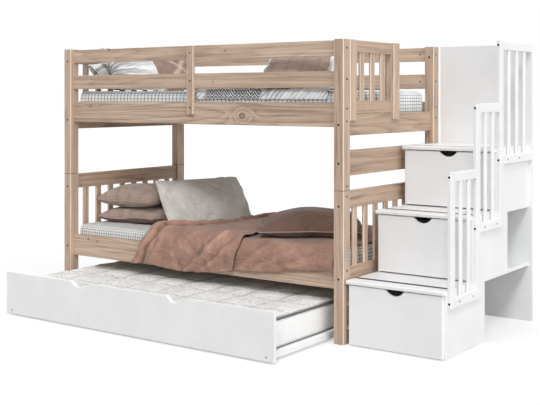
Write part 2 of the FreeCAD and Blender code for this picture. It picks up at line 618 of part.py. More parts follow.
def make_stair_guards():
    """Three stepped slatted guards that share their uprights."""
    stiles = []
    rails = []
    slats = []
    x0 = STAIR_X1
    for step in range(STEP_COUNT):
        lower_step = max(step - 1, 0)
        low = tread_top(lower_step) - GUARD_DROP
        high = tread_top(step) + GUARD_RISE
        y0 = stile_front(step)
        stiles.append(bored(board(x0, GUARD_X1, y0, y0 + STILE_WIDTH, low, high,
                                  Z_AXIS, STILE_EASE)))
        last = step == STEP_COUNT - 1
        start = y0 + STILE_WIDTH
        end = BED_WIDTH if last else stile_front(step + 1)
        bottom_z = tread_top(step) - GUARD_DROP
        bottom = board(x0, GUARD_X1, start, end, bottom_z, bottom_z + STAIR_BOTTOM_RAIL,
                       Y_AXIS, STILE_EASE)
        top = board(x0, GUARD_X1, start, end, high - STAIR_TOP_RAIL, high, Y_AXIS, STILE_EASE)
        starts = spread(start, end, STAIR_SLAT_WIDTH, STAIR_SLAT_COUNTS[step])
        made, bottom, top = slatted(bottom, top, x0 + STILE_THICK / 2, starts, STAIR_SLAT_WIDTH,
                                    bottom_z + STAIR_BOTTOM_RAIL, high - STAIR_TOP_RAIL,
                                    STAIR_SLAT_EASE)
        slats += made
        rails += [bored(bottom), bored(top)]
    nodes["stair_guard_stiles"] = stiles
    nodes["stair_guard_rails"] = rails
    nodes["stair_guard_slats"] = slats


def make_drawers():
    """Three drawers on angle runners, each face with a half-moon pull in its upper edge."""
    runners = []
    inner_x0 = STAIR_X0 + PANEL
    inner_x1 = STAIR_X1 - PANEL
    for step in range(STEP_COUNT):
        front = panel_front(step)
        floor = bay_floor(step)
        face_y1 = front - FACE_GAP
        face_z1 = tread_top(step) - TREAD_THICK - FACE_TOP_GAP
        face = board(STAIR_X0 + FACE_SIDE_REVEAL, STAIR_X1 - FACE_SIDE_REVEAL,
                     face_y1 - FACE_THICK, face_y1, floor + FACE_BOTTOM_GAP, face_z1,
                     Z_AXIS, FACE_EASE)
        pull_r = (PULL_CHORD ** 2 / 4 + PULL_DEPTH ** 2) / (2 * PULL_DEPTH)
        centre = FreeCAD.Vector((STAIR_X0 + STAIR_X1) / 2, face_y1 - FACE_THICK,
                                face_z1 - PULL_DEPTH + pull_r)
        face = face.cut(rod(pull_r, centre, Y_AXIS, FACE_THICK))
        nodes["drawer_%d_face" % (step + 1)] = [face]

        x0 = inner_x0 + DRAWER_SIDE_GAP
        x1 = inner_x1 - DRAWER_SIDE_GAP
        z0 = floor + DRAWER_RISE
        z1 = z0 + DRAWER_HEIGHT
        y1 = face_y1 + DRAWER_DEPTH
        walls = [box(x0, x0 + DRAWER_WALL, face_y1, y1, z0, z1),
                 box(x1 - DRAWER_WALL, x1, face_y1, y1, z0, z1),
                 box(x0 + DRAWER_WALL, x1 - DRAWER_WALL, face_y1, face_y1 + DRAWER_WALL, z0, z1),
                 box(x0 + DRAWER_WALL, x1 - DRAWER_WALL, y1 - DRAWER_WALL, y1, z0, z1),
                 box(x0 + DRAWER_WALL, x1 - DRAWER_WALL, face_y1 + DRAWER_WALL, y1 - DRAWER_WALL,
                     z0, z0 + DRAWER_BOTTOM)]
        nodes["drawer_%d_box" % (step + 1)] = walls

        leg = DRAWER_SIDE_GAP + DRAWER_WALL
        shelf_z = z0 - RUNNER_GAP - RUNNER_SHEET
        for wall_x, into in ((inner_x0, 1), (inner_x1, -1)):
            tip = wall_x + into * leg
            sheet = wall_x + into * RUNNER_SHEET
            flat = box(min(wall_x, tip), max(wall_x, tip), front + RUNNER_SETBACK, y1,
                       shelf_z, shelf_z + RUNNER_SHEET)
            upright = box(min(wall_x, sheet), max(wall_x, sheet), front + RUNNER_SETBACK, y1,
                          shelf_z, shelf_z + RUNNER_LEG)
            runners.append(flat.fuse(upright).removeSplitter())
    nodes["drawer_runners"] = runners


# ---------------------------------------------------------------- trundle
def make_trundle():
    """Low bed on four wheels behind a tall face with two hand scoops."""
    face_x0 = (BED_LENGTH - TRUNDLE_FACE_LENGTH) / 2
    face_x1 = face_x0 + TRUNDLE_FACE_LENGTH
    y_face = -TRUNDLE_OUT
    y0 = y_face + TRUNDLE_FACE_THICK
    y1 = y_face + TRUNDLE_DEPTH
    top_z = TRUNDLE_FACE_Z + TRUNDLE_FACE_HEIGHT
    bolts = []
    rail_middle_z = TRUNDLE_RAIL_Z + TRUNDLE_RAIL_HEIGHT / 2
    half = TRUNDLE_RAIL_THICK / 2
    rail_middles = (face_x0 + TRUNDLE_BOLT_INSET, face_x1 - TRUNDLE_BOLT_INSET)
    back_middle_y = y1 - half
    before = len(bores)
    for x, outward in ((rail_middles[0], -1), (rail_middles[1], 1)):
        bolts.append(bolt(FreeCAD.Vector(x, y_face, rail_middle_z), Y_AXIS,
                          TRUNDLE_FACE_THICK + BOLT_BITE))
        bolts.append(bolt(FreeCAD.Vector(x + outward * half, back_middle_y, rail_middle_z),
                          X_AXIS * -outward, TRUNDLE_RAIL_THICK + BOLT_BITE))
    nodes["trundle_bolts"] = bolts
    trundle_bores = bores[before:]

    face = board(face_x0, face_x1, y_face, y0, TRUNDLE_FACE_Z, top_z, X_AXIS, TRUNDLE_FACE_EASE)
    for side in (-1, 1):
        middle = BED_LENGTH / 2 + side * SCOOP_OFFSET
        rim = [FreeCAD.Vector(middle - SCOOP_WIDTH / 2, y_face, top_z),
               FreeCAD.Vector(middle - SCOOP_FLAT / 2, y_face, top_z - SCOOP_SHOULDER),
               FreeCAD.Vector(middle, y_face, top_z - SCOOP_DEPTH),
               FreeCAD.Vector(middle + SCOOP_FLAT / 2, y_face, top_z - SCOOP_SHOULDER),
               FreeCAD.Vector(middle + SCOOP_WIDTH / 2, y_face, top_z)]
        outline = Part.Wire([Part.makeLine(rim[0], rim[1]),
                             Part.Arc(rim[1], rim[2], rim[3]).toShape(),
                             Part.makeLine(rim[3], rim[4]), Part.makeLine(rim[4], rim[0])])
        face = face.cut(Part.Face(outline).extrude(Y_AXIS * TRUNDLE_FACE_THICK))
    nodes["trundle_face"] = [face.cut(trundle_bores)]

    rail_z1 = TRUNDLE_RAIL_Z + TRUNDLE_RAIL_HEIGHT
    rails = []
    for x in rail_middles:
        rail = board(x - half, x + half, y0, y1, TRUNDLE_RAIL_Z, rail_z1, Y_AXIS,
                     TRUNDLE_FACE_EASE)
        rails.append(rail.cut(trundle_bores))
    inner_x0 = rail_middles[0] + half
    inner_x1 = rail_middles[1] - half
    back = board(inner_x0, inner_x1, y1 - TRUNDLE_RAIL_THICK, y1, TRUNDLE_RAIL_Z, rail_z1,
                 X_AXIS, TRUNDLE_FACE_EASE)
    rails.append(back.cut(trundle_bores))
    inner_y1 = y1 - TRUNDLE_RAIL_THICK
    slat_z = TRUNDLE_RAIL_Z + TRUNDLE_CLEAT
    for cleat_y in (y0, inner_y1 - TRUNDLE_CLEAT):
        rails.append(box(inner_x0, inner_x1, cleat_y, cleat_y + TRUNDLE_CLEAT,
                         TRUNDLE_RAIL_Z, slat_z))
    nodes["trundle_rails"] = rails

    slat_span = inner_x1 - inner_x0 - 2 * TRUNDLE_SLAT_MARGIN - TRUNDLE_SLAT_WIDTH
    slats = []
    for index in range(TRUNDLE_SLAT_COUNT):
        x0 = inner_x0 + TRUNDLE_SLAT_MARGIN + index * slat_span / (TRUNDLE_SLAT_COUNT - 1)
        slats.append(board(x0, x0 + TRUNDLE_SLAT_WIDTH, y0 + BED_SLAT_END_GAP,
                           inner_y1 - BED_SLAT_END_GAP, slat_z, slat_z + TRUNDLE_SLAT_THICK,
                           Y_AXIS, SLAT_EASE))
    nodes["trundle_slats"] = slats

    casters = []
    wheel_number = 0
    for wall_x, into in ((inner_x0, 1), (inner_x1, -1)):
        for y in (y0 + WHEEL_INSET, inner_y1 - WHEEL_INSET):
            inward = X_AXIS * into
            plate_x = wall_x + into * CASTER_PLATE
            plate = box(min(wall_x, plate_x), max(wall_x, plate_x), y - CASTER_PLATE_LENGTH / 2,
                        y + CASTER_PLATE_LENGTH / 2, TRUNDLE_RAIL_Z, rail_z1)
            hub = FreeCAD.Vector(plate_x, y, WHEEL_R)
            reach = WHEEL_WIDTH + 2 * WHEEL_SIDE_GAP
            axle = rod(AXLE_R, hub, inward, reach)
            cap = rod(AXLE_CAP_R, hub + inward * reach, inward, AXLE_CAP)
            casters.append(plate.fuse([axle, cap]).removeSplitter())
            wheel = rod(WHEEL_R, hub + inward * WHEEL_SIDE_GAP, inward, WHEEL_WIDTH)
            rims = [edge for edge in wheel.Edges if len(edge.Vertexes) == 1]
            wheel = wheel.makeFillet(WHEEL_EASE, rims)
            wheel = wheel.cut(rod(AXLE_R + AXLE_CLEARANCE, hub, inward, reach))
            wheel_number += 1
            nodes["trundle_wheel_%d" % wheel_number] = [wheel]
    nodes["trundle_casters"] = casters

    gap = TRUNDLE_MATTRESS_SIDE_GAP
    bed_z = slat_z + TRUNDLE_SLAT_THICK + SOFT_GAP
    mattress_y1 = y0 + gap + MATTRESS_WIDTH
    mattress_z1 = bed_z + TRUNDLE_MATTRESS_THICK
    nodes["trundle_mattress"] = [rounded_slab(inner_x0 + gap, inner_x1 - gap, y0 + gap,
                                              mattress_y1, bed_z, mattress_z1,
                                              TRUNDLE_MATTRESS_EASE)]
    inset = gap + QUILT_EDGE_INSET
    nodes["trundle_quilt"] = [quilt(inner_x0 + inset, inner_x1 - inset, y0 + inset,
                                    mattress_y1 - QUILT_EDGE_INSET, mattress_z1 + SOFT_GAP)]


# ---------------------------------------------------------------- bedding
def rounded_slab(x0, x1, y0, y1, z0, z1, ease):
    """Mattress with all its edges rounded."""
    slab = box(x0, x1, y0, y1, z0, z1)
    return slab.makeFillet(ease, slab.Edges)


def scalloped(span, cells, low, puff):
    """Outline of a row of puffs: a flat underside and one arc over each cell."""
    pitch = span / cells
    edges = [Part.makeLine(FreeCAD.Vector(span, 0, 0), FreeCAD.Vector(0, 0, 0)),
             Part.makeLine(FreeCAD.Vector(0, 0, 0), FreeCAD.Vector(0, 0, low))]
    for cell in range(cells):
        start = cell * pitch
        edges.append(Part.Arc(FreeCAD.Vector(start, 0, low),
                              FreeCAD.Vector(start + pitch / 2, 0, low + puff),
                              FreeCAD.Vector(start + pitch, 0, low)).toShape())
    edges.append(Part.makeLine(FreeCAD.Vector(span, 0, low), FreeCAD.Vector(span, 0, 0)))
    return Part.Face(Part.Wire(edges))


def quilt(x0, x1, y0, y1, z):
    """Quilted cover: puffed squares, where rows of channels cross both ways."""
    along = scalloped(x1 - x0, QUILT_CELLS_X, QUILT_LOW, QUILT_PUFF)
    along = along.extrude(Y_AXIS * (y1 - y0))
    across = scalloped(y1 - y0, QUILT_CELLS_Y, QUILT_LOW, QUILT_PUFF)
    across = across.extrude(Y_AXIS * (x1 - x0))
    across.Placement = FreeCAD.Placement(FreeCAD.Vector(x1 - x0, 0, 0),
                                         FreeCAD.Rotation(Z_AXIS, 90))
    made = along.common(across)
    made.translate(FreeCAD.Vector(x0, y0, z))
    return made


def cushion(width, depth, thick, pull):
    """Crowned pillow about its seam's middle; its sides draw in by pull between corners."""
    sections = []
    for place, fullness in CUSHION_STATIONS:
        x = place * width
        half = depth / 2 - pull * (1 - 4 * place * place)
        up = thick * CUSHION_UPPER * fullness
        down = thick * (1 - CUSHION_UPPER) * fullness
        front = FreeCAD.Vector(x, -half, 0)
        back = FreeCAD.Vector(x, half, 0)
        sections.append(Part.Wire([
            Part.Arc(front, FreeCAD.Vector(x, 0, up), back).toShape(),
            Part.Arc(back, FreeCAD.Vector(x, 0, -down), front).toShape()]))
    return Part.makeLoft(sections, True, False)


def laid(pillow, floor):
    """A cushion leant back and turned, then set down on a level at its place."""
    form, (x, y), turn, lean = pillow
    solid = cushion(*form)
    solid.rotate(FreeCAD.Vector(0, 0, 0), X_AXIS, lean)
    solid.rotate(FreeCAD.Vector(0, 0, 0), Z_AXIS, turn)
    box_round = solid.optimalBoundingBox(False)
    solid.translate(FreeCAD.Vector(x, y, floor + SOFT_GAP - box_round.ZMin))
    return solid


def seated(solid, below):
    """A soft piece lowered until it lies a soft gap above an uneven one."""
    for _ in range(SEATING_STEPS):
        gap = solid.distToShape(below)[0]
        solid.translate(Z_AXIS * (SOFT_GAP - gap))
    return solid


def draped_section(x, back_y, top_z, hem_z, thick, bulge):
    """Outline of a blanket over a mattress's front edge and the rail, at one place along it."""
    gap = SOFT_GAP
    edge_y = (BED_WIDTH - MATTRESS_WIDTH) / 2
    ease = MATTRESS_EASE
    rail_top = LOWER_RAIL_Z + LOWER_RAIL_HEIGHT
    turn_y = edge_y + ease
    low_z = top_z - ease
    inner = ease + gap
    outer = ease + gap + thick
    diagonal = math.sqrt(0.5)
    hang = RAIL_FRONT - gap
    middle_z = (rail_top + hem_z) / 2

    def point(y, z):
        return FreeCAD.Vector(x, y, z)

    return Part.Wire([
        Part.makeLine(point(back_y, top_z + gap), point(turn_y, top_z + gap)),
        Part.Arc(point(turn_y, low_z + inner),
                 point(turn_y - inner * diagonal, low_z + inner * diagonal),
                 point(turn_y - inner, low_z)).toShape(),
        Part.makeLine(point(turn_y - inner, low_z), point(hang, rail_top + RAIL_EASE)),
        Part.makeLine(point(hang, rail_top + RAIL_EASE), point(hang, hem_z)),
        Part.makeLine(point(hang, hem_z), point(hang - thick, hem_z)),
        Part.Arc(point(hang - thick, hem_z), point(hang - thick - bulge, middle_z),
                 point(hang - thick, rail_top + ease)).toShape(),
        Part.Arc(point(hang - thick, rail_top + ease),
                 point(turn_y - outer * diagonal, low_z + outer * diagonal),
                 point(turn_y, low_z + outer)).toShape(),
        Part.makeLine(point(turn_y, low_z + outer), point(back_y, low_z + outer)),
        Part.makeLine(point(back_y, low_z + outer), point(back_y, top_z + gap))])


def lower_blanket(top_z):
    """Blanket over the lower mattress, doubled at its left, hanging over the front rail."""
    end_x = (BED_LENGTH + MATTRESS_LENGTH) / 2 - LOWER_BLANKET_END_GAP
    start, shoulder, fold = LOWER_BLANKET_START, LOWER_BLANKET_SHOULDER, LOWER_BLANKET_FOLD
    edge_y = (BED_WIDTH - MATTRESS_WIDTH) / 2 + MATTRESS_EASE
    far_y = BED_WIDTH - edge_y
    doubled = [(start + run, edge_y + rise) for run, rise in FOLDED_EDGE]
    doubled += [(shoulder, far_y), ((shoulder + fold) / 2, far_y), (fold, far_y)]
    single_start = fold + LOWER_BLANKET_FOLD_SLOPE
    step = (end_x - single_start) / (len(SINGLE_HEMS) - 1)
    sections = []
    for index, (x, back_y) in enumerate(doubled):
        bulge = BLANKET_BULGE * BULGE_RANGE[index % 2]
        sections.append(draped_section(x, back_y, top_z, DOUBLE_HEMS[index], BLANKET_DOUBLE,
                                       bulge))
    for index, hem_z in enumerate(SINGLE_HEMS):
        bulge = BLANKET_BULGE * BULGE_RANGE[index % 2]
        sections.append(draped_section(single_start + index * step, far_y, top_z, hem_z,
                                       BLANKET_THICK, bulge))
    return Part.makeLoft(sections, True, True)


def upper_blanket(top_z):
    """Thin rumpled blanket on the upper mattress, tucked down inside the side rail."""
    end_x = (BED_LENGTH + MATTRESS_LENGTH) / 2 - UPPER_BLANKET_END_GAP
    span = end_x - UPPER_BLANKET_START
    edge_y = (BED_WIDTH - MATTRESS_WIDTH) / 2
    turn_y = edge_y + MATTRESS_EASE
    far_y = BED_WIDTH - turn_y
    low_z = top_z - MATTRESS_EASE
    inner = MATTRESS_EASE + SOFT_GAP
    outer = inner + UPPER_BLANKET_THICK
    diagonal = math.sqrt(0.5)
    hem_z = top_z - UPPER_BLANKET_DROP
    sections = []
    for index in range(UPPER_BLANKET_SECTIONS):
        x = UPPER_BLANKET_START + span * index / (UPPER_BLANKET_SECTIONS - 1)
        puff = UPPER_BLANKET_PUFF * (index % 2)
        ridge = FreeCAD.Vector(x, (turn_y + far_y) / 2, low_z + outer + puff)
        sections.append(Part.Wire([
            Part.makeLine(FreeCAD.Vector(x, far_y, top_z + SOFT_GAP),
                          FreeCAD.Vector(x, turn_y, top_z + SOFT_GAP)),
            Part.Arc(FreeCAD.Vector(x, turn_y, low_z + inner),
                     FreeCAD.Vector(x, turn_y - inner * diagonal, low_z + inner * diagonal),
                     FreeCAD.Vector(x, turn_y - inner, low_z)).toShape(),
            Part.makeLine(FreeCAD.Vector(x, turn_y - inner, low_z),
                          FreeCAD.Vector(x, turn_y - inner, hem_z)),
            Part.makeLine(FreeCAD.Vector(x, turn_y - inner, hem_z),
                          FreeCAD.Vector(x, turn_y - outer, hem_z)),
            Part.makeLine(FreeCAD.Vector(x, turn_y - outer, hem_z),
                          FreeCAD.Vector(x, turn_y - outer, low_z)),
            Part.Arc(FreeCAD.Vector(x, turn_y - outer, low_z),
                     FreeCAD.Vector(x, turn_y - outer * diagonal, low_z + outer * diagonal),
                     FreeCAD.Vector(x, turn_y, low_z + outer)).toShape(),
            Part.makeLine(FreeCAD.Vector(x, turn_y, low_z + outer), ridge),
            Part.makeLine(ridge, FreeCAD.Vector(x, far_y, low_z + outer)),
            Part.makeLine(FreeCAD.Vector(x, far_y, low_z + outer),
                          FreeCAD.Vector(x, far_y, top_z + SOFT_GAP))]))
    return Part.makeLoft(sections, True, True)


def make_bedding():
    """Mattresses, pillows and blankets that dress the two fixed beds."""
    x0 = (BED_LENGTH - MATTRESS_LENGTH) / 2
    x1 = x0 + MATTRESS_LENGTH
    y0 = (BED_WIDTH - MATTRESS_WIDTH) / 2
    y1 = y0 + MATTRESS_WIDTH
    tops = []
    for name, rail_z in (("lower_mattress", LOWER_RAIL_Z), ("upper_mattress", UPPER_RAIL_Z)):
        z0 = rail_z + CLEAT_SIZE + BED_SLAT_THICK + SOFT_GAP
        nodes[name] = [rounded_slab(x0, x1, y0, y1, z0, z0 + MATTRESS_THICK, MATTRESS_EASE)]
        tops.append(z0 + MATTRESS_THICK)
    lower, upper = tops

    bottom = laid(STACK_LOWER_CUSHION, lower)
    over = laid(STACK_UPPER_CUSHION, bottom.optimalBoundingBox(False).ZMax)
    nodes["stacked_cushions"] = [bottom, seated(over, bottom)]
    nodes["large_pillow"] = [laid(LARGE_PILLOW, lower)]
    blanket = lower_blanket(lower)
    nodes["lower_blanket"] = [blanket]
    nodes["foot_cushion"] = [seated(laid(FOOT_CUSHION, lower + BLANKET_DOUBLE), blanket)]

    blanket = upper_blanket(upper)
    nodes["upper_blanket"] = [blanket]
    rest = upper + UPPER_BLANKET_THICK + UPPER_BLANKET_PUFF + SOFT_GAP
    nodes["upper_pillows"] = [laid(pillow, upper) for pillow in HEAD_PILLOWS]
    nodes["upper_pillows"] += [seated(laid(pillow, rest), blanket) for pillow in FOOT_PILLOWS]


# ---------------------------------------------------------------- making and writing
make_bed_fasteners()
make_stair_fasteners()
make_posts()
make_sides()
make_ends()
make_entry_guard()
make_mattress_supports()
make_stair_boxes()
make_stair_guards()
make_drawers()
make_trundle()
make_bedding()

os.makedirs("parts", exist_ok=True)
for name, solids in nodes.items():
    shape = Part.makeCompound(solids) if len(solids) > 1 else solids[0]
    shape.translate(ORIGIN * -1)
    shape.exportStep("parts/%s.step" % name)
    print("%-26s %3d solids  valid %s" % (name, len(shape.Solids), shape.isValid()))
print(len(nodes), "nodes")
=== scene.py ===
"""Bunk bed with a storage staircase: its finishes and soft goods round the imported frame.

Everything is in metres.  Places are given from the bed's own corner, the outer front corner of
the front head post on the floor: X runs along the bed to the stairs, Y to the back, Z up.
"""
import logging
import math
from collections.abc import Iterable
from dataclasses import dataclass, field
from enum import Enum
from functools import reduce

import bmesh
import bpy
import numpy as np
from mathutils import Matrix, Vector


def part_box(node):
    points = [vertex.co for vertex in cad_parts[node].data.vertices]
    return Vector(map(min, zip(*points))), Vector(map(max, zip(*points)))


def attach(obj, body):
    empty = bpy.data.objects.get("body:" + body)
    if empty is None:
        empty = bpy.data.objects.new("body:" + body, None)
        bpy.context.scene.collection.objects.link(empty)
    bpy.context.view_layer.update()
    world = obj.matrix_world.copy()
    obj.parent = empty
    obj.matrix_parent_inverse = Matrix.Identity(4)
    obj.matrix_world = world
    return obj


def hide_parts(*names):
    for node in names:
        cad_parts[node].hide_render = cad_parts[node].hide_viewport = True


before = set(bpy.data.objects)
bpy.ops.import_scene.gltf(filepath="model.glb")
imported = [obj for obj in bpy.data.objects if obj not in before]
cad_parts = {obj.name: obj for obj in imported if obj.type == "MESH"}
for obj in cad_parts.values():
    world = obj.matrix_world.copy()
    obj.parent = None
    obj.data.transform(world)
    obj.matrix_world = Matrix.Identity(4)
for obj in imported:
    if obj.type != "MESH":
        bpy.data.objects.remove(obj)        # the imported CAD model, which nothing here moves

LOG = logging.getLogger("bunk_bed")
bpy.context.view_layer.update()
BED_CORNER = np.array(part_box("lower_post_front_head")[0])
SEAM = 2e-5              # distance within which points of two patches are one
COLOUR = tuple[float, float, float]
SURFACE = tuple[np.ndarray, np.ndarray, np.ndarray]      # points, faces, flat coordinates
TABLE = tuple[tuple[float, float], ...]                  # places and their values
KNOTS = tuple[tuple[float, float, float], ...]           # place along, height, radius


def grey(level: float) -> COLOUR:
    """Colour of three equal parts."""
    return (level, level, level)


# ---------------------------------------------------------------- places from the frame
def corners(node: str) -> tuple[np.ndarray, np.ndarray]:
    """Lowest and highest corner of a CAD node, from the bed's corner."""
    low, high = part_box(node)
    return np.array(low) - BED_CORNER, np.array(high) - BED_CORNER


def read(parts: bpy.types.bpy_prop_collection, label: str, width: int, kind: type) -> np.ndarray:
    """One property of all parts of a mesh, a row for each."""
    values = np.empty(len(parts) * width, kind)
    parts.foreach_get(label, values)
    return values.reshape(-1, width)


def solids_of(node: str) -> list[tuple[np.ndarray, np.ndarray]]:
    """Boxes of a CAD node's separate solids, in order of their lowest X.

    Args:
        node: The CAD node's name.

    Returns:
        The lowest and highest corner of each solid, from the bed's corner.
    """
    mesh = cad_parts[node].data
    points = read(mesh.vertices, "co", 3, float)
    _, same = np.unique(np.round(points, 6), axis=0, return_inverse=True)
    ends = same.ravel()[read(mesh.edges, "vertices", 2, int)]
    label = np.arange(ends.max() + 1)
    settled = False
    while not settled:
        least = label.copy()
        np.minimum.at(least, ends[:, 0], label[ends[:, 1]])
        np.minimum.at(least, ends[:, 1], label[ends[:, 0]])
        least = least[least]
        settled = bool((least == label).all())
        label = least
    owner = label[same.ravel()]
    boxes = [(points[owner == one].min(0) - BED_CORNER, points[owner == one].max(0) - BED_CORNER)
             for one in np.unique(owner)]
    return sorted(boxes, key=lambda ends_of: tuple(np.round(ends_of[0], 3)))


# ---------------------------------------------------------------- surfaces
def unit(values: np.ndarray) -> np.ndarray:
    """Values held between 0 and 1."""
    return np.clip(values, 0, 1)


def smooth(share: np.ndarray) -> np.ndarray:
    """Eased share 3t^2 - 2t^3 of a share t held between 0 and 1."""
    share = unit(share)
    return share * share * (3 - 2 * share)


def lattice_noise(points: np.ndarray, seed: int) -> np.ndarray:
    """Smooth noise from -1 to 1 over points of two coordinates.

    The four corners of each unit square hold pseudo-random heights, and the height between them
    is their mix by 3t^2 - 2t^3 both ways.

    Args:
        points: Array whose last axis holds the two coordinates, in cells of the noise.
        seed: Number that picks one field of noise.

    Returns:
        The heights, without the last axis.
    """
    cell = np.floor(points).astype(np.int64)
    share = smooth(points - cell)

    def height(step_x: int, step_y: int) -> np.ndarray:
        """Pseudo-random heights of one corner of the squares."""
        mixed = (cell[..., 0] + step_x) * 374761393 + (cell[..., 1] + step_y) * 668265263
        mixed = (mixed + seed * 982451653) & 0xFFFFFFFF
        mixed = ((mixed ^ (mixed >> 13)) * 1274126177) & 0xFFFFFFFF
        return ((mixed ^ (mixed >> 16)) & 0xFFFF) / 32767.5 - 1

    low = height(0, 0) * (1 - share[..., 0]) + height(1, 0) * share[..., 0]
    high = height(0, 1) * (1 - share[..., 0]) + height(1, 1) * share[..., 0]
    return low * (1 - share[..., 1]) + high * share[..., 1]


def ripple(places: np.ndarray, seed: int) -> np.ndarray:
    """Smooth noise from -1 to 1 along one coordinate, given in cells of the noise."""
    return lattice_noise(np.stack([places, 0 * places], -1), seed)


def crumple(flat: np.ndarray, size: float, seed: int, turn: float = 0.0,
            stretch: float = 1.0) -> np.ndarray:
    """Creases of crumpled cloth, from about 0 in the folds to about 1 on the crests.

    Three octaves on coordinates that wander by a slower noise: the first half smooth noise and
    half its absolute value, which has sharp folds, and the finer ones 1 - |noise|, squared,
    which have sharp crests.

    Args:
        flat: Flat coordinates of the cloth, in metres.
        size: Distance between the main creases.
        seed: Number that picks the field.
        turn: Direction in which the creases run, in degrees.
        stretch: How many times longer than wide the creases are.

    Returns:
        The height at each point.
    """
    angle = math.radians(turn)
    along = (flat[..., 0] * math.cos(angle) + flat[..., 1] * math.sin(angle)) / stretch
    across = -flat[..., 0] * math.sin(angle) + flat[..., 1] * math.cos(angle)
    place = np.stack([along, across], -1) / size
    wander = np.stack([lattice_noise(place * 0.5, seed + 7),
                       lattice_noise(place * 0.5, seed + 8)], -1)
    place = place + 0.6 * wander
    broad = lattice_noise(place, seed)
    total = 0.6 * (0.25 * (1 + broad) + 0.85 * np.abs(broad))
    for octave, weight in ((1, 0.28), (2, 0.14)):
        total += weight * (1 - np.abs(lattice_noise(place * 2 ** octave, seed + octave))) ** 2
    return total


def grid_faces(rows: int, columns: int) -> np.ndarray:
    """Corner numbers of the squares between the points of a grid, row by row."""
    corner = (np.arange(rows - 1)[:, None] * columns + np.arange(columns - 1)).ravel()
    return np.stack([corner, corner + columns, corner + columns + 1, corner + 1], 1)


def joined(parts: list[SURFACE]) -> SURFACE:
    """Several surfaces as one."""
    firsts = np.cumsum([0] + [len(points) for points, _, _ in parts])
    return (np.concatenate([points for points, _, _ in parts]),
            np.concatenate([faces + first for (_, faces, _), first in zip(parts, firsts)]),
            np.concatenate([flat for _, _, flat in parts]))


def smooth_curve(table: TABLE, wanted: np.ndarray) -> np.ndarray:
    """Values at wanted places, by 3t^2 - 2t^3 between each pair of neighbours of a table."""
    places, values = np.array(table).T
    index = np.clip(np.searchsorted(places, wanted) - 1, 0, len(places) - 2)
    share = smooth((wanted - places[index]) / (places[index + 1] - places[index]))
    return values[index] * (1 - share) + values[index + 1] * share


def hollows(height: np.ndarray, depth: float, reach: int) -> np.ndarray:
    """How deep each point of a grid lies in a fold: (mean height round it - height) / depth.

    Args:
        height: Height of the cloth at the grid's points.
        depth: Depth of a fold that counts as 1.
        reach: How many points away the mean goes.

    Returns:
        From -1 on a crest to 1 in a fold.
    """
    mean = height
    for _ in range(3):
        for axis in (0, 1):
            wide = np.pad(mean, [(reach, reach) if one == axis else (0, 0) for one in (0, 1)],
                          mode="edge")
            total = np.cumsum(np.insert(wide, 0, 0.0, axis=axis), axis=axis)
            span = 2 * reach + 1
            mean = (np.take(total, np.arange(span, total.shape[axis]), axis)
                    - np.take(total, np.arange(0, total.shape[axis] - span), axis)) / span
    return np.clip((mean - height) / depth, -1, 1)


def stand(name: str, data: bpy.types.ID) -> bpy.types.Object:
    """Object of new data, linked to the scene."""
    made = bpy.data.objects.new(name, data)
    bpy.context.scene.collection.objects.link(made)
    return made


def make_piece(name: str, points: np.ndarray, faces: np.ndarray, flat: np.ndarray,
               finish: "Finish", body: str, slot: str,
               hollow: np.ndarray | None = None) -> bpy.types.Object:
    """Makes one mesh piece, which sits at the origin with its place in its mesh.

    Args:
        name: The piece's name.
        points: Vertices, from the bed's corner.
        faces: Corner numbers of its faces, the same number in each.
        flat: Flat coordinates of the vertices in metres, which become the UV map.
        finish: What its surface is.
        body: CAD body that it rides on.
        slot: Material slot of the record; not used.
        hollow: How deep each vertex lies in a fold, which the finish turns into painted shade in
            folds and a painted highlight on crests.

    Returns:
        The object.
    """
    mesh = bpy.data.meshes.new(name)
    mesh.from_pydata((points.reshape(-1, 3) + BED_CORNER).tolist(), [], faces.tolist())
    layer = mesh.uv_layers.new(name="Flat")
    layer.data.foreach_set("uv", flat.reshape(-1, 2)[faces.ravel()].astype(np.float32).ravel())
    if hollow is not None:
        depth = mesh.attributes.new("Hollow", "FLOAT", "POINT")
        depth.data.foreach_set("value", hollow.ravel().astype(np.float32))
    mesh.polygons.foreach_set("use_smooth", np.ones(len(mesh.polygons), bool))
    mesh.materials.append(finish.material())
    piece = stand(name, mesh)
    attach(piece, body)
    LOG.info("%s: %d points on %s", name, len(mesh.vertices), body)
    return piece


def merge_seams(piece: bpy.types.Object) -> None:
    """Joins the doubled points where the patches of a closed skin meet, and faces it outwards."""
    mesh = bmesh.new()
    mesh.from_mesh(piece.data)
    bmesh.ops.remove_doubles(mesh, verts=mesh.verts, dist=SEAM)
    bmesh.ops.recalc_face_normals(mesh, faces=mesh.faces)
    mesh.to_mesh(piece.data)
    mesh.free()


def refine(piece: bpy.types.Object) -> None:
    """Adds a live subdivision, with the same level in the viewport as in the render."""
    modifier = piece.modifiers.new("Refine", "SUBSURF")
    modifier.levels = modifier.render_levels = 1


def lay(name: str, points: np.ndarray, flat: np.ndarray, hollow: np.ndarray, finish: "Finish",
        slot: str, cloth: float, under: str, **measures: float) -> bpy.types.Object:
    """Makes a layer of a blanket, thickened towards what it lies on.

    Args:
        name: The piece's name.
        points: Rows and columns of its points, from the bed's corner.
        flat: Their flat coordinates.
        hollow: How deep each lies in a fold.
        finish: What its surface is.
        slot: Material slot of the record.
        cloth: Its thickness.
        under: The piece that holds it up; not used.
        measures: What else is known of the flat sheet; not used.

    Returns:
        The object.
    """
    piece = make_piece(name, points, grid_faces(*flat.shape[:2]), flat, finish, "frame", slot,
                       hollow)
    modifier = piece.modifiers.new("Thickness", "SOLIDIFY")
    modifier.thickness = cloth
    modifier.offset = -1.0
    refine(piece)
    return piece


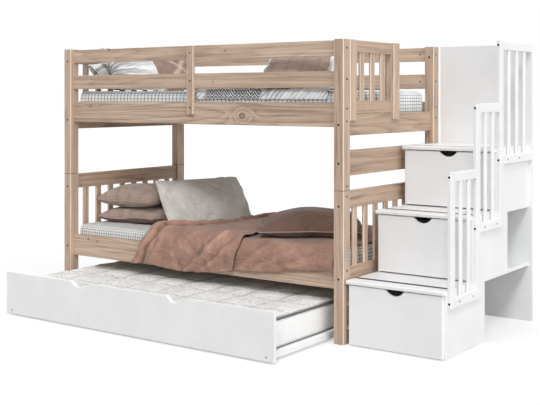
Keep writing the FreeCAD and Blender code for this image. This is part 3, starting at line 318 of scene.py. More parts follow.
def tube(path: np.ndarray, radius: float, sides: int, closed: bool) -> SURFACE:
    """Round cord along a path: each ring is the path's point plus radius (cos a, sin a) across it.

    Args:
        path: Points of the centreline.
        radius: Radius of the cord.
        sides: Number of sides of each ring.
        closed: Whether its last point joins its first.

    Returns:
        Its points, its faces and its flat coordinates, along and round it.
    """
    if closed:
        ahead, behind = np.roll(path, -1, 0), np.roll(path, 1, 0)
    else:
        ahead, behind = np.vstack([path[1:], path[-1:]]), np.vstack([path[:1], path[:-1]])
    tangent = ahead - behind
    tangent /= np.linalg.norm(tangent, axis=1, keepdims=True)
    upright = np.where(np.abs(tangent[:, 2:]) > 0.9, [[1.0, 0.0, 0.0]], [[0.0, 0.0, 1.0]])
    side = np.cross(tangent, upright)
    side /= np.linalg.norm(side, axis=1, keepdims=True)
    above = np.cross(side, tangent)
    angle = np.arange(sides) * 2 * math.pi / sides
    ring = (np.cos(angle)[None, :, None] * side[:, None] + np.sin(angle)[None, :, None]
            * above[:, None]) * radius
    points = path[:, None] + ring
    count = len(path)
    row = np.arange(count if closed else count - 1)
    one, two = np.meshgrid(row, np.arange(sides), indexing="ij")
    after, beside = (one + 1) % count, (two + 1) % sides
    faces = np.stack([one * sides + two, one * sides + beside, after * sides + beside,
                      after * sides + two], -1).reshape(-1, 4)
    run = np.concatenate([[0], np.cumsum(np.linalg.norm(np.diff(path, axis=0), axis=1))])
    flat = np.stack(np.broadcast_arrays(run[:, None], angle[None] * radius), -1)
    return points.reshape(-1, 3), faces, flat.reshape(-1, 2)


# ---------------------------------------------------------------- shader trees
class Tree:
    """Places and wires nodes in one shader tree, a material's or a group's."""

    def __init__(self, tree: bpy.types.NodeTree) -> None:
        """Takes over an empty tree."""
        self.tree = tree

    def node(self, kind: str, inputs: dict | None = None, **settings: object) -> bpy.types.Node:
        """Adds one node.

        Args:
            kind: Its type without the ShaderNode in front.
            inputs: Input names or numbers, each with a value or the socket that feeds it.
            settings: Its properties.

        Returns:
            The node.
        """
        made = self.tree.nodes.new("ShaderNode" + kind)
        for key, value in settings.items():
            setattr(made, key, value)
        self.fill(made, inputs or {})
        return made

    def fill(self, node: bpy.types.Node, inputs: dict) -> None:
        """Links sockets to a node's inputs, or sets the inputs' own values."""
        for key, value in inputs.items():
            socket = node.inputs[key]
            if isinstance(value, bpy.types.NodeSocket):
                self.tree.links.new(value, socket)
            elif isinstance(value, tuple) and len(value) == 3 and socket.type == "RGBA":
                socket.default_value = (*value, 1.0)
            else:
                socket.default_value = value

    def maths(self, operation: str, *values: object, clamp: bool = False) -> bpy.types.NodeSocket:
        """One sum on numbers or sockets."""
        made = self.node("Math", dict(enumerate(values)), operation=operation, use_clamp=clamp)
        return made.outputs[0]

    def times(self, one: object, two: object) -> bpy.types.NodeSocket:
        """Product of two numbers or sockets."""
        return self.maths("MULTIPLY", one, two)

    def combine(self, operation: str, parts: Iterable[object]) -> object:
        """One sum carried on over several numbers or sockets."""
        return reduce(lambda total, part: self.maths(operation, total, part), parts)

    def blend(self, share: object, one: object, two: object,
              how: str = "MIX") -> bpy.types.NodeSocket:
        """Mix of two colours."""
        made = self.node("Mix", data_type="RGBA", blend_type=how, clamp_factor=True)
        self.fill(made, {0: share, 6: one, 7: two})
        return made.outputs[2]

    def noise(self, vector: object, scale: float | tuple[float, float, float],
              detail: float = 2.0, roughness: float = 0.5) -> bpy.types.NodeSocket:
        """Noise from 0 to 1 with a scale in cells in a metre, which may differ by axis."""
        scale = scale if isinstance(scale, tuple) else (scale,) * 3
        place = self.node("Mapping", {"Vector": vector, "Scale": scale})
        made = self.node("TexNoise", {"Vector": place.outputs[0], "Scale": 1.0, "Detail": detail,
                                      "Roughness": roughness})
        return made.outputs[0]

    def ease(self, value: object, low: float, high: float, start: float = 0.0,
             end: float = 1.0) -> bpy.types.NodeSocket:
        """Smooth step of a value from one range to another."""
        made = self.node("MapRange", {"Value": value, "From Min": low, "From Max": high,
                                      "To Min": start, "To Max": end},
                         interpolation_type="SMOOTHSTEP")
        return made.outputs[0]

    def apart(self, vector: object) -> list[bpy.types.NodeSocket]:
        """The three coordinates of a vector."""
        return list(self.node("SeparateXYZ", {0: vector}).outputs)

    def group(self, shared: bpy.types.NodeTree, inputs: dict) -> bpy.types.Node:
        """Places a shared group with this material's own values."""
        return self.node("Group", inputs, node_tree=shared)


class Group(Tree):
    """A shared effect, as a node group with named inputs and outputs."""

    def __init__(self, name: str, inputs: dict[str, object]) -> None:
        """Makes the empty group.

        Args:
            name: The group's name.
            inputs: Names of the inputs with their first values, None for a vector.
        """
        super().__init__(bpy.data.node_groups.new(name, "ShaderNodeTree"))
        for label, value in inputs.items():
            kind = "NodeSocketVector" if value is None else "NodeSocketFloat"
            socket = self.tree.interface.new_socket(label, in_out="INPUT", socket_type=kind)
            if value is not None:
                socket.default_value = value
        self.given = self.tree.nodes.new("NodeGroupInput").outputs

    def closed(self, results: dict[str, object]) -> bpy.types.NodeTree:
        """Adds an output for each result, all numbers, and hands over the group's tree."""
        for label in results:
            self.tree.interface.new_socket(label, in_out="OUTPUT", socket_type="NodeSocketFloat")
        self.fill(self.tree.nodes.new("NodeGroupOutput"), results)
        return self.tree


def timber_group() -> bpy.types.NodeTree:
    """Figure of flat-sawn timber whose grain runs along X: rings, brushed streaks and tone."""
    made = Group("timber figure", {"Vector": None, "Rings": 11.0, "Swell": 0.0})
    place = made.given["Vector"]
    broad = made.noise(place, (0.55, 9.0, 9.0), 1.0, 0.4)
    waver = made.noise(place, (2.0, 34.0, 34.0))
    field = made.maths("MULTIPLY_ADD", broad, made.given["Rings"], made.given["Swell"])
    field = made.maths("MULTIPLY_ADD", waver, 0.7, field)
    ring = made.node("ValToRGB", {0: made.maths("FRACT", field)})
    stops = ring.color_ramp.elements
    stops[1].position = 1.0
    for stop in stops:
        stop.color = (0.0, 0.0, 0.0, 1.0)
    for position, level in ((0.35, 0.12), (0.7, 0.55), (0.88, 1.0)):
        stops.new(position).color = (*grey(level), 1.0)
    wide = made.ease(made.noise(place, (0.9, 60.0, 60.0), 3.0, 0.6), 0.34, 0.66)
    thin = made.ease(made.noise(place, (2.6, 150.0, 150.0), 3.0, 0.65), 0.36, 0.64)
    return made.closed({"Rings": ring.outputs[0],
                        "Streaks": made.times(made.maths("ADD", wide, thin), 0.5),
                        "Pores": made.noise(place, (11.0, 380.0, 380.0), 3.0, 0.6),
                        "Tone": made.noise(place, (0.7, 4.0, 4.0))})


def knot_group() -> bpy.types.NodeTree:
    """Knot at one place: how it swells the rings round it, and its dark core."""
    made = Group("knot", {"Vector": None, "Centre": None, "Radius": 0.02})
    away = made.node("VectorMath", {0: made.given["Vector"], 1: made.given["Centre"]},
                     operation="SUBTRACT").outputs[0]
    along, depth, across = (made.maths("DIVIDE", part, made.given["Radius"])
                            for part in made.apart(away))
    depth = made.times(depth, 0.25)

    def distance(squeeze: float, power: float) -> bpy.types.NodeSocket:
        """Distance in radii, squeezed along the grain, with corners where the power is low."""
        total = made.combine("ADD", [made.maths("POWER", made.maths("ABSOLUTE", part), power)
                                     for part in (made.times(along, squeeze), across, depth)])
        return made.maths("POWER", total, 1.0 / power)

    ring = distance(0.42, 1.35)
    falling = made.times(made.times(ring, ring), -0.24)
    rough = made.noise(made.given["Vector"], 160.0)
    core = made.maths("MULTIPLY_ADD", rough, 0.5, distance(0.8, 2.0))
    rim = made.maths("ABSOLUTE", made.maths("SUBTRACT", core, 1.0))
    inner = made.ease(core, 1.1, 0.7, 0.0, 0.45)
    return made.closed({"Swell": made.times(made.maths("EXPONENT", falling), 3.4),
                        "Core": made.maths("MAXIMUM", inner, made.ease(rim, 0.32, 0.12))})


def edge_group() -> bpy.types.NodeTree:
    """How far a surface turns away from the three axes: 1 on the eased edges of square timber."""
    made = Group("eased edges", {"Normal": None})
    parts = [made.maths("ABSOLUTE", one) for one in made.apart(made.given["Normal"])]
    edge = made.ease(made.combine("MAXIMUM", parts), 0.99, 0.86)
    return made.closed({"Edge": edge, "Upright": made.times(edge, made.ease(parts[2], 0.4, 0.1))})


def weave_group() -> bpy.types.NodeTree:
    """Plain weave on flat coordinates: the threads' height, and their uneven thickness."""
    made = Group("plain weave", {"Vector": None, "Threads": 900.0, "Slub": 0.5})
    place = made.given["Vector"]
    turns = [made.times(made.times(part, made.given["Threads"]), math.pi)
             for part in made.apart(place)[:2]]
    wave = made.combine("MULTIPLY", [made.maths("SINE", turn) for turn in turns])
    slubs = made.maths("ADD", made.noise(place, (30.0, 700.0, 1.0)),
                       made.noise(place, (700.0, 30.0, 1.0)))
    height = made.maths("MULTIPLY_ADD", wave, 0.35, made.times(slubs, made.given["Slub"]))
    return made.closed({"Height": height, "Slubs": made.times(slubs, 0.5)})


def crease_group() -> bpy.types.NodeTree:
    """Small creases of washed cloth, in two directions."""
    made = Group("washed creases", {"Vector": None, "Creases": 40.0})
    scaled = made.node("VectorMath", {0: made.given["Vector"], "Scale": made.given["Creases"]},
                       operation="SCALE").outputs[0]
    crests = []
    for turn in (0.5, 2.2):
        turned = made.node("Mapping", {"Vector": scaled, "Rotation": (0.0, 0.0, turn),
                                       "Scale": (0.35, 1.0, 1.0)})
        field = made.node("TexNoise", {"Vector": turned.outputs[0], "Scale": 1.0, "Detail": 2.5,
                                       "Distortion": 0.6}).outputs[0]
        off = made.maths("ABSOLUTE", made.maths("MULTIPLY_ADD", field, 2.0, -1.0))
        crests.append(made.maths("SUBTRACT", 1.0, made.maths("MULTIPLY", off, 2.2, clamp=True)))
    return made.closed({"Height": made.times(made.combine("ADD", crests), 0.5)})


def stripe_group() -> bpy.types.NodeTree:
    """Evenly spaced stripes across one coordinate, from 0 between them to 1 on them."""
    made = Group("stripes", {"Along": 0.0, "Pitch": 0.02, "Offset": 0.0, "Width": 0.2})
    turn = made.maths("DIVIDE", made.given["Along"], made.given["Pitch"])
    turn = made.maths("FRACT", made.maths("ADD", turn, made.given["Offset"]))
    far = made.maths("ABSOLUTE", made.maths("SUBTRACT", turn, 0.5))
    half = made.times(made.given["Width"], 0.5)
    step = made.maths("DIVIDE", made.maths("SUBTRACT", half, far), made.times(half, 0.6))
    return made.closed({"Stripe": made.maths("ADD", step, 0.5, clamp=True)})


class Effects:
    """The shared node groups, each built once."""

    def __init__(self) -> None:
        """Builds the groups."""
        self.timber = timber_group()
        self.knot = knot_group()
        self.edges = edge_group()
        self.weave = weave_group()
        self.creases = crease_group()
        self.stripes = stripe_group()


EFFECTS = Effects()
MADE: dict[str, bpy.types.Material] = {}


# ---------------------------------------------------------------- finishes
@dataclass(frozen=True)
class Finish:
    """A surface finish; its look is in its subclass."""

    name: str

    def material(self) -> bpy.types.Material:
        """The finish's material, made when it is first asked for."""
        if self.name not in MADE:
            made = bpy.data.materials.new(self.name)
            made.use_nodes = True
            tree = Tree(made.node_tree)
            shader = made.node_tree.nodes["Principled BSDF"]
            self.paint(tree, shader)
            MADE[self.name] = made
        return MADE[self.name]

    def paint(self, tree: Tree, shader: bpy.types.Node) -> None:
        """Wires the finish into a material's shader."""
        raise NotImplementedError

    @staticmethod
    def wire(tree: Tree, shader: bpy.types.Node, inputs: dict, height: object, distance: float,
             strength: float) -> None:
        """Feeds a shader's inputs, and a height times a distance in metres to its normal."""
        relief = tree.node("Bump", {"Height": height, "Distance": distance, "Strength": strength})
        tree.fill(shader, {**inputs, "Normal": relief.outputs[0]})


class Grain(Enum):
    """Direction of the grain, as the turn that carries it onto X."""

    ALONG = (0.0, 0.0, 0.0)
    ACROSS = (0.0, 0.0, -math.pi / 2)
    UP = (0.0, math.pi / 2, 0.0)


@dataclass(frozen=True)
class Timber(Finish):
    """Washed, brushed timber with growth rings, streaks, knots, and eased edges made paler by
    sanding wear and a painted highlight.
    """

    grain: Grain = Grain.ALONG
    early: COLOUR = (0.655, 0.495, 0.380)
    late: COLOUR = (0.235, 0.152, 0.108)
    knots: tuple[tuple[float, float, float, float], ...] = ()
    rings: float = 10.0
    contrast: float = 0.34
    streak: float = 0.56
    joint: float = -1.0
    joint_half: float = 0.0022
    edge_wear_and_highlight: COLOUR = (0.93, 0.83, 0.70)
    dark_knot: COLOUR = (0.11, 0.066, 0.047)
    dark_joint: COLOUR = (0.085, 0.045, 0.032)

    def paint(self, tree: Tree, shader: bpy.types.Node) -> None:
        """Wires rings, streaks, pores, tone, knots and edges."""
        source = tree.node("TexCoord").outputs
        place = tree.node("Mapping", {"Vector": source["Object"],
                                      "Rotation": self.grain.value}).outputs[0]
        spots = [tree.group(EFFECTS.knot, {
            "Vector": place, "Centre": tuple(np.array((x, y, z)) + BED_CORNER),
            "Radius": radius}).outputs for x, y, z, radius in self.knots]
        swell = tree.combine("ADD", [0.0, *(spot["Swell"] for spot in spots)])
        rings, streaks, pores, tone = tree.group(EFFECTS.timber, {
            "Vector": place, "Rings": self.rings, "Swell": swell}).outputs
        depth = tree.maths("MULTIPLY_ADD", rings, self.contrast, -0.25)
        depth = tree.maths("MULTIPLY_ADD", streaks, self.streak, depth)
        depth = tree.maths("MULTIPLY_ADD", tree.ease(pores, 0.35, 0.7), 0.16, depth)
        depth = tree.maths("MULTIPLY_ADD", tone, 0.36, depth, clamp=True)
        colour = tree.blend(depth, self.early, self.late)
        if spots:
            core = tree.combine("MAXIMUM", [spot["Core"] for spot in spots])
            colour = tree.blend(tree.times(core, 0.8), colour, self.dark_knot)
        # Upright eased edges made paler: partly sanding wear, partly a painted highlight where the
        # light catches them
        edge = tree.group(EFFECTS.edges, {"Normal": source["Normal"]}).outputs["Upright"]
        colour = tree.blend(tree.times(edge, 0.9), colour, self.edge_wear_and_highlight)
        if self.joint > 0:
            away = tree.maths("SUBTRACT", tree.apart(source["Object"])[2], self.joint)
            line = tree.ease(tree.maths("ABSOLUTE", away), self.joint_half, self.joint_half * 0.5)
            colour = tree.blend(tree.times(line, 0.85), colour, self.dark_joint)
        height = tree.maths("SUBTRACT", tree.times(rings, -0.3), streaks)
        self.wire(tree, shader, {
            "Base Color": colour, "Roughness": tree.ease(pores, 0.2, 0.8, 0.5, 0.68),
            "Specular IOR Level": 0.3}, tree.maths("SUBTRACT", height, pores), 0.0009, 0.6)


@dataclass(frozen=True)
class Lacquer(Finish):
    """Satin white lacquer over boards, a little uneven, with a painted highlight on its eased
    edges.
    """

    colour: COLOUR = (0.84, 0.845, 0.85)
    roughness: float = 0.38

    def paint(self, tree: Tree, shader: bpy.types.Node) -> None:
        """Wires a faint mottle, brush marks and a painted highlight on the edges."""
        source = tree.node("TexCoord").outputs
        mottle = tree.noise(source["Object"], 5.0, 3.0)
        edge = tree.group(EFFECTS.edges, {"Normal": source["Normal"]}).outputs["Edge"]
        darker = tuple(0.955 * one for one in self.colour)
        colour = tree.blend(tree.ease(mottle, 0.3, 0.7), darker, self.colour)
        # Painted highlight: the eased edges are lightened towards pale grey
        colour = tree.blend(tree.times(edge, 0.7), colour, grey(0.94))
        rough = tree.ease(mottle, 0.25, 0.75, self.roughness, self.roughness + 0.1)
        self.wire(tree, shader, {
            "Base Color": self.with_painted_shade(tree, source["Object"], colour), "Roughness": rough,
            "Specular IOR Level": 0.35}, tree.noise(source["Object"], 60.0, 3.0), 0.0004, 0.25)

    def with_painted_shade(self, tree: Tree, place: object, colour: object) -> object:
        """The lacquer with any painted shade; plain lacquer has none."""
        return colour


@dataclass(frozen=True)
class GappedLacquer(Lacquer):
    """Lacquer of the tread boards, with painted shade on the edges inside the gap between two
    boards.
    """

    gaps: tuple[float, ...] = ()
    edge_depth: float = 0.004
    # Colour of the painted shade in the gaps between tread boards
    gap_shade: COLOUR = (0.035, 0.035, 0.028)

    def with_painted_shade(self, tree: Tree, place: object, colour: object) -> object:
        """Paints shade on a thin slice at each rear board's front edge, inside the gap."""
        _, y, _ = tree.apart(place)
        for gap in self.gaps:
            away = tree.maths("ABSOLUTE", tree.maths("SUBTRACT", y, gap + float(BED_CORNER[1])))
            inside = tree.ease(away, self.edge_depth, self.edge_depth * 0.7)
            colour = tree.blend(tree.times(inside, 0.96), colour, self.gap_shade)
        return colour


@dataclass(frozen=True)
class Metal(Finish):
    """Plated steel with fine scratches."""

    colour: COLOUR = (0.030, 0.027, 0.030)
    roughness: float = 0.5

    def paint(self, tree: Tree, shader: bpy.types.Node) -> None:
        """Wires scratches into the colour, the roughness and the normal."""
        place = tree.node("TexCoord").outputs["Object"]
        scratch = tree.noise(place, (1800.0, 240.0, 900.0), 4.0, 0.6)
        lighter = tuple(1.7 * one for one in self.colour)
        colour = tree.blend(tree.ease(scratch, 0.4, 0.75), self.colour, lighter)
        rough = tree.ease(scratch, 0.3, 0.7, self.roughness, self.roughness + 0.2)
        self.wire(tree, shader, {"Base Color": colour, "Metallic": 0.8, "Roughness": rough},
                  scratch, 0.0002, 0.3)


@dataclass(frozen=True)
class Plastic(Finish):
    """Moulded wheel plastic with a fine sparkle texture and scuffs."""

    colour: COLOUR = (0.045, 0.045, 0.05)
    scuffed: COLOUR = (0.14, 0.14, 0.14)

    def paint(self, tree: Tree, shader: bpy.types.Node) -> None:
        """Wires scuffs and a moulded grain."""
        place = tree.node("TexCoord").outputs["Object"]
        scuff = tree.noise(place, 90.0, 4.0, 0.65)
        colour = tree.blend(tree.ease(scuff, 0.55, 0.8), self.colour, self.scuffed)
        self.wire(tree, shader, {
            "Base Color": colour, "Roughness": tree.ease(scuff, 0.3, 0.8, 0.42, 0.7)},
            tree.noise(place, 1500.0, 1.0), 0.0002, 0.4)


@dataclass(frozen=True)
class Cloth(Finish):
    """Woven cloth on the piece's flat coordinates, with slubs, washed creases, a pile sheen,
    painted shade in its folds and a painted highlight on its crests.
    """

    colour: COLOUR = (0.5, 0.5, 0.5)
    shade: COLOUR = (0.4, 0.4, 0.4)
    threads: float = 900.0
    crease: float = 0.002
    creases: float = 40.0
    sheen: float = 0.25
    relief: float = 0.0004
    # Colour factors for the painted shade in folds and the painted highlight on crests
    fold_shade: float = 0.42
    crest_highlight: float = 1.16

    def paint(self, tree: Tree, shader: bpy.types.Node) -> None:
        """Wires colour, weave, creases, painted shade in the folds and a painted highlight on the
        crests; the pattern is in the subclass.
        """
        flat = tree.node("UVMap", uv_map="Flat").outputs[0]
        weave = tree.group(EFFECTS.weave, {"Vector": flat, "Threads": self.threads}).outputs
        crease = tree.group(EFFECTS.creases, {"Vector": flat, "Creases": self.creases}).outputs
        mottle = tree.noise(flat, 7.0, 4.0, 0.6)
        colour = tree.blend(tree.ease(mottle, 0.3, 0.7), self.shade, self.colour)
        slub = tree.ease(weave["Slubs"], 0.4, 0.62, 0.0, 0.35)
        colour = tree.blend(slub, colour, tuple(min(1.0, 1.22 * one) for one in self.colour))
        colour = self.pattern(tree, flat, colour)
        # Painted shade: the Hollow depth darkens the colour in folds, and a painted highlight
        # lightens it on crests
        depth = tree.node("Attribute", attribute_name="Hollow").outputs["Fac"]
        for end, light in ((1.0, self.fold_shade), (-1.0, self.crest_highlight)):
            lit = tree.blend(1.0, colour, grey(light), "MULTIPLY")
            colour = tree.blend(tree.ease(depth, 0.0, end), colour, lit)
        height = tree.maths("MULTIPLY_ADD", crease["Height"], self.crease,
                            tree.times(weave["Height"], self.relief))
        self.wire(tree, shader, {
            "Base Color": colour, "Roughness": tree.ease(mottle, 0.2, 0.8, 0.82, 0.95),
            "Specular IOR Level": 0.15, "Sheen Weight": self.sheen, "Sheen Roughness": 0.5},
            height, 1.0, 0.8)

    def pattern(self, tree: Tree, flat: object, colour: object) -> object:
        """The cloth's own pattern over its plain colour; plain cloth has none."""
        return colour

    @staticmethod
    def lines(tree: Tree, along: object, pitch: float, offsets: tuple[float, ...],
              width: float) -> object:
        """Several stripes in each repeat, as shares of the pitch."""
        return tree.combine("MAXIMUM", [tree.group(EFFECTS.stripes, {
            "Along": along, "Pitch": pitch, "Offset": offset, "Width": width}).outputs[0]
            for offset in offsets])


@dataclass(frozen=True)
class CheckCloth(Cloth):
    """Cloth woven in a check: lines both ways, darker where they cross."""

    line: COLOUR = (0.25, 0.26, 0.26)
    pitch: float = 0.02
    offsets: tuple[float, ...] = (0.0,)
    width: float = 0.16
    strength: float = 0.6
    cross_strength: float = 0.6

    def pattern(self, tree: Tree, flat: object, colour: object) -> object:
        """Lays the lines of both directions over the colour."""
        u, v, _ = tree.apart(flat)
        for along, strength in ((u, self.strength), (v, self.cross_strength)):
            lines = self.lines(tree, along, self.pitch, self.offsets, self.width)
            colour = tree.blend(tree.times(lines, strength), colour, self.line)
        return colour


@dataclass(frozen=True)
class HerringboneCloth(Cloth):
    """Cloth of dark and light diagonal dashes that turn back at each band, fading to plain."""

    dark: COLOUR = (0.065, 0.067, 0.070)
    band: float = 0.027
    dash: float = 0.0180
    woven_from: float = 1.10
    woven_to: float = 1.49
    fade: float = 0.02
    rib: COLOUR = (0.30, 0.31, 0.32)

    def pattern(self, tree: Tree, flat: object, colour: object) -> object:
        """Dashes where the cloth is woven with two yarns, ribs of pale grey beyond."""
        u, v, _ = tree.apart(flat)
        side = tree.maths("PINGPONG", tree.maths("DIVIDE", u, self.band), 1.0)
        lift = tree.times(side, self.band)
        turn = tree.maths("DIVIDE", tree.maths("ADD", v, lift), self.dash)
        turn = tree.maths("MULTIPLY_ADD", tree.noise(flat, 150.0, 3.0, 0.7), 0.7, turn)
        far = tree.maths("ABSOLUTE", tree.maths("SUBTRACT", tree.maths("FRACT", turn), 0.5))
        breaks = tree.ease(tree.noise(flat, 110.0, 1.0, 0.6), 0.26, 0.38)
        dashes = tree.times(tree.ease(far, 0.12, 0.22), breaks)
        edge = tree.maths("MULTIPLY_ADD", tree.noise(flat, (9.0, 30.0, 1.0)), 0.06, u)
        woven = tree.times(tree.ease(edge, self.woven_to + self.fade, self.woven_to),
                           tree.ease(edge, self.woven_from, self.woven_from + self.fade))
        bend = tree.maths("MULTIPLY_ADD", tree.noise(flat, 6.0), 0.05, u)
        ribs = self.lines(tree, tree.maths("MULTIPLY_ADD", v, 0.9, bend), 0.030, (0.0,), 0.34)
        depth = tree.ease(tree.noise(flat, 12.0), 0.35, 0.65, 0.25, 0.85)
        plain = tree.blend(tree.times(ribs, depth), colour, self.rib)
        dashed = tree.blend(tree.times(dashes, 0.95), colour, self.dark)
        return tree.blend(woven, plain, dashed)


@dataclass(frozen=True)
class StreakedCloth(Cloth):
    """White cloth with soft grey streaks that fan out from one end."""

    fan_u: float = -0.26
    fan_v: float = -0.05
    streak: COLOUR = (0.11, 0.115, 0.12)

    def pattern(self, tree: Tree, flat: object, colour: object) -> object:
        """Streaks whose strength follows a noise of the direction from the fan's point."""
        u, v, _ = tree.apart(flat)
        along = tree.maths("SUBTRACT", u, self.fan_u)
        aside = tree.maths("SUBTRACT", v, self.fan_v)
        angle = tree.maths("ARCTAN2", aside, along)
        far = tree.node("CombineXYZ", {0: along, 1: aside}).outputs[0]
        far = tree.node("VectorMath", {0: far}, operation="LENGTH").outputs["Value"]
        place = tree.node("CombineXYZ", {0: tree.times(angle, 6.0),
                                         1: tree.times(far, 4.0)}).outputs[0]
        streaks = tree.ease(tree.noise(place, (1.8, 1.0, 1.0), 2.0, 0.6), 0.38, 0.56)
        fade = tree.ease(far, 0.50, 0.04, 0.15, 1.0)
        return tree.blend(tree.times(tree.times(streaks, fade), 0.85), colour, self.streak)


@dataclass(frozen=True)
class CrossedCloth(Cloth):
    """Plain cloth with two pale bands that cross it corner to corner."""

    pale: COLOUR = (0.50, 0.38, 0.31)
    slope: float = 0.80
    half: float = 0.016

    def pattern(self, tree: Tree, flat: object, colour: object) -> object:
        """Lays both bands over the colour."""
        u, v, _ = tree.apart(flat)
        for slope in (self.slope, -self.slope):
            away = tree.maths("ABSOLUTE", tree.maths("MULTIPLY_ADD", u, slope, v))
            band = tree.ease(away, self.half * 1.7, self.half * 0.4)
            colour = tree.blend(tree.times(band, 0.8), colour, self.pale)
        return colour


@dataclass(frozen=True)
class QuiltCloth(Cloth):
    """Thin cotton of a quilt, with a fine broken line weave and small flecks."""

    broken: COLOUR = (0.34, 0.34, 0.33)
    fleck: COLOUR = (0.16, 0.16, 0.16)

    def pattern(self, tree: Tree, flat: object, colour: object) -> object:
        """Broken lines along the quilt and scattered flecks."""
        bend = tree.maths("MULTIPLY_ADD", tree.noise(flat, (5.0, 9.0, 1.0)), 0.05,
                          tree.apart(flat)[1])
        lines = self.lines(tree, bend, 0.013, (0.0,), 0.35)
        breaks = tree.ease(tree.noise(flat, (40.0, 120.0, 1.0), 3.0, 0.7), 0.42, 0.58)
        colour = tree.blend(tree.times(tree.times(lines, breaks), 0.70), colour, self.broken)
        flecks = tree.ease(tree.noise(flat, 300.0, 2.0, 0.7), 0.62, 0.70)
        zone = tree.ease(tree.noise(flat, 3.0), 0.34, 0.52, 0.25, 1.0)
        return tree.blend(tree.times(flecks, tree.times(zone, 0.75)), colour, self.fleck)


WHITE_BOARD = Lacquer("white lacquer")
DRAWER_BOARD = Lacquer("drawer board", colour=(0.70, 0.69, 0.67), roughness=0.5)
DARK_STEEL = Metal("dark steel")
TRUNDLE_STEEL = Metal("bright steel", colour=(0.42, 0.42, 0.43), roughness=0.3)
WHEEL_PLASTIC = Plastic("wheel plastic")
PLAIN_ALONG = Timber("plain pine along", Grain.ALONG, (0.66, 0.50, 0.33), (0.36, 0.24, 0.14))
PLAIN_ACROSS = Timber("plain pine across", Grain.ACROSS, (0.66, 0.50, 0.33), (0.36, 0.24, 0.14))
TIMBER_UP = Timber("washed timber up", Grain.UP, contrast=0.26)
TIMBER_POST = Timber("washed timber post", Grain.UP, contrast=0.26,
                     joint=float(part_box("lower_post_front_head")[1][2]))
TIMBER_ACROSS = Timber("washed timber across", Grain.ACROSS, early=(0.575, 0.425, 0.315),
                       rings=7.0, contrast=0.40, streak=0.52)
TIMBER_CALM = Timber("calm timber across", Grain.ACROSS, early=(0.555, 0.410, 0.300), rings=6.0,
                     contrast=0.20, streak=0.50)
TIMBER_SLAT = Timber("washed timber slat", Grain.UP, contrast=0.30, streak=0.62)
TERRACOTTA = Cloth("terracotta linen", colour=(0.400, 0.240, 0.180), shade=(0.262, 0.152, 0.114),
                   creases=48.0, crease=0.0058, sheen=0.2, fold_shade=0.72)
TAUPE = CheckCloth("taupe linen", colour=(0.400, 0.300, 0.245), shade=(0.300, 0.220, 0.178),
                   line=(0.15, 0.095, 0.075), pitch=0.075, offsets=(0.0, 0.14), width=0.05,
                   strength=0.4, cross_strength=0.4, crease=0.0022, sheen=0.2)
TAUPE_LIGHT = CheckCloth("light taupe linen", colour=(0.425, 0.330, 0.275),
                         shade=(0.330, 0.250, 0.205), line=(0.20, 0.135, 0.11), pitch=0.085,
                         offsets=(0.0, 0.14), width=0.05, strength=0.4, cross_strength=0.4,
                         crease=0.0022, sheen=0.2)
BROWN_BAND = Cloth("brown linen band", colour=(0.165, 0.100, 0.076), shade=(0.125, 0.076, 0.058),
                   crease=0.0020, sheen=0.2)
CROSSED = CrossedCloth("crossed taupe linen", colour=(0.270, 0.190, 0.150),
                       shade=(0.180, 0.122, 0.096), crease=0.0030, sheen=0.2)
UMBER = Cloth("umber satin", colour=(0.182, 0.108, 0.078), shade=(0.145, 0.086, 0.062),
              crease=0.0008, creases=20.0, sheen=0.3, threads=1400.0)
GREY_SLUB = Cloth("grey slub linen", colour=(0.78, 0.755, 0.72), shade=(0.56, 0.54, 0.51),
                  creases=62.0, crease=0.0075, relief=0.0014, threads=420.0, sheen=0.1,
                  fold_shade=0.6)
SMALL_CHECK = CheckCloth("small check cotton", colour=(0.82, 0.82, 0.80), shade=(0.75, 0.75, 0.74),
                         line=(0.10, 0.11, 0.11), pitch=0.0185, width=0.24, strength=0.85,
                         cross_strength=0.62, crease=0.0012, sheen=0.05)
LARGE_CHECK = CheckCloth("large check cotton", colour=(0.86, 0.87, 0.87), shade=(0.74, 0.76, 0.77),
                         line=(0.035, 0.04, 0.045), pitch=0.0275, width=0.17, strength=0.80,
                         cross_strength=0.66, crease=0.0030, sheen=0.05)
PILLOW_CHECK = CheckCloth("pillow check cotton", colour=(0.80, 0.81, 0.81),
                          shade=(0.70, 0.72, 0.73), line=(0.03, 0.032, 0.035), pitch=0.078,
                          offsets=(0.0, 0.16), width=0.085, strength=0.85, cross_strength=0.85,
                          crease=0.0020, sheen=0.05)
HERRINGBONE = HerringboneCloth("herringbone cotton", colour=(0.82, 0.83, 0.83),
                               shade=(0.72, 0.73, 0.74), crease=0.0014, sheen=0.05)
WHITE_COTTON = StreakedCloth("streaked white cotton", colour=(0.78, 0.79, 0.79),
                             shade=(0.66, 0.67, 0.68), creases=26.0, crease=0.0034, sheen=0.05)
QUILT_COTTON = QuiltCloth("quilted cotton", colour=(0.85, 0.845, 0.83), shade=(0.74, 0.735, 0.72),
                          creases=60.0, crease=0.0040, sheen=0.05)
TICKING = Cloth("white ticking", colour=(0.84, 0.84, 0.835), shade=(0.79, 0.79, 0.785),
                creases=12.0, crease=0.0010, sheen=0.05, threads=1100.0)
PIPING = Cloth("grey piping", colour=grey(0.13), shade=grey(0.09), threads=700.0, crease=0.0,
               sheen=0.1)


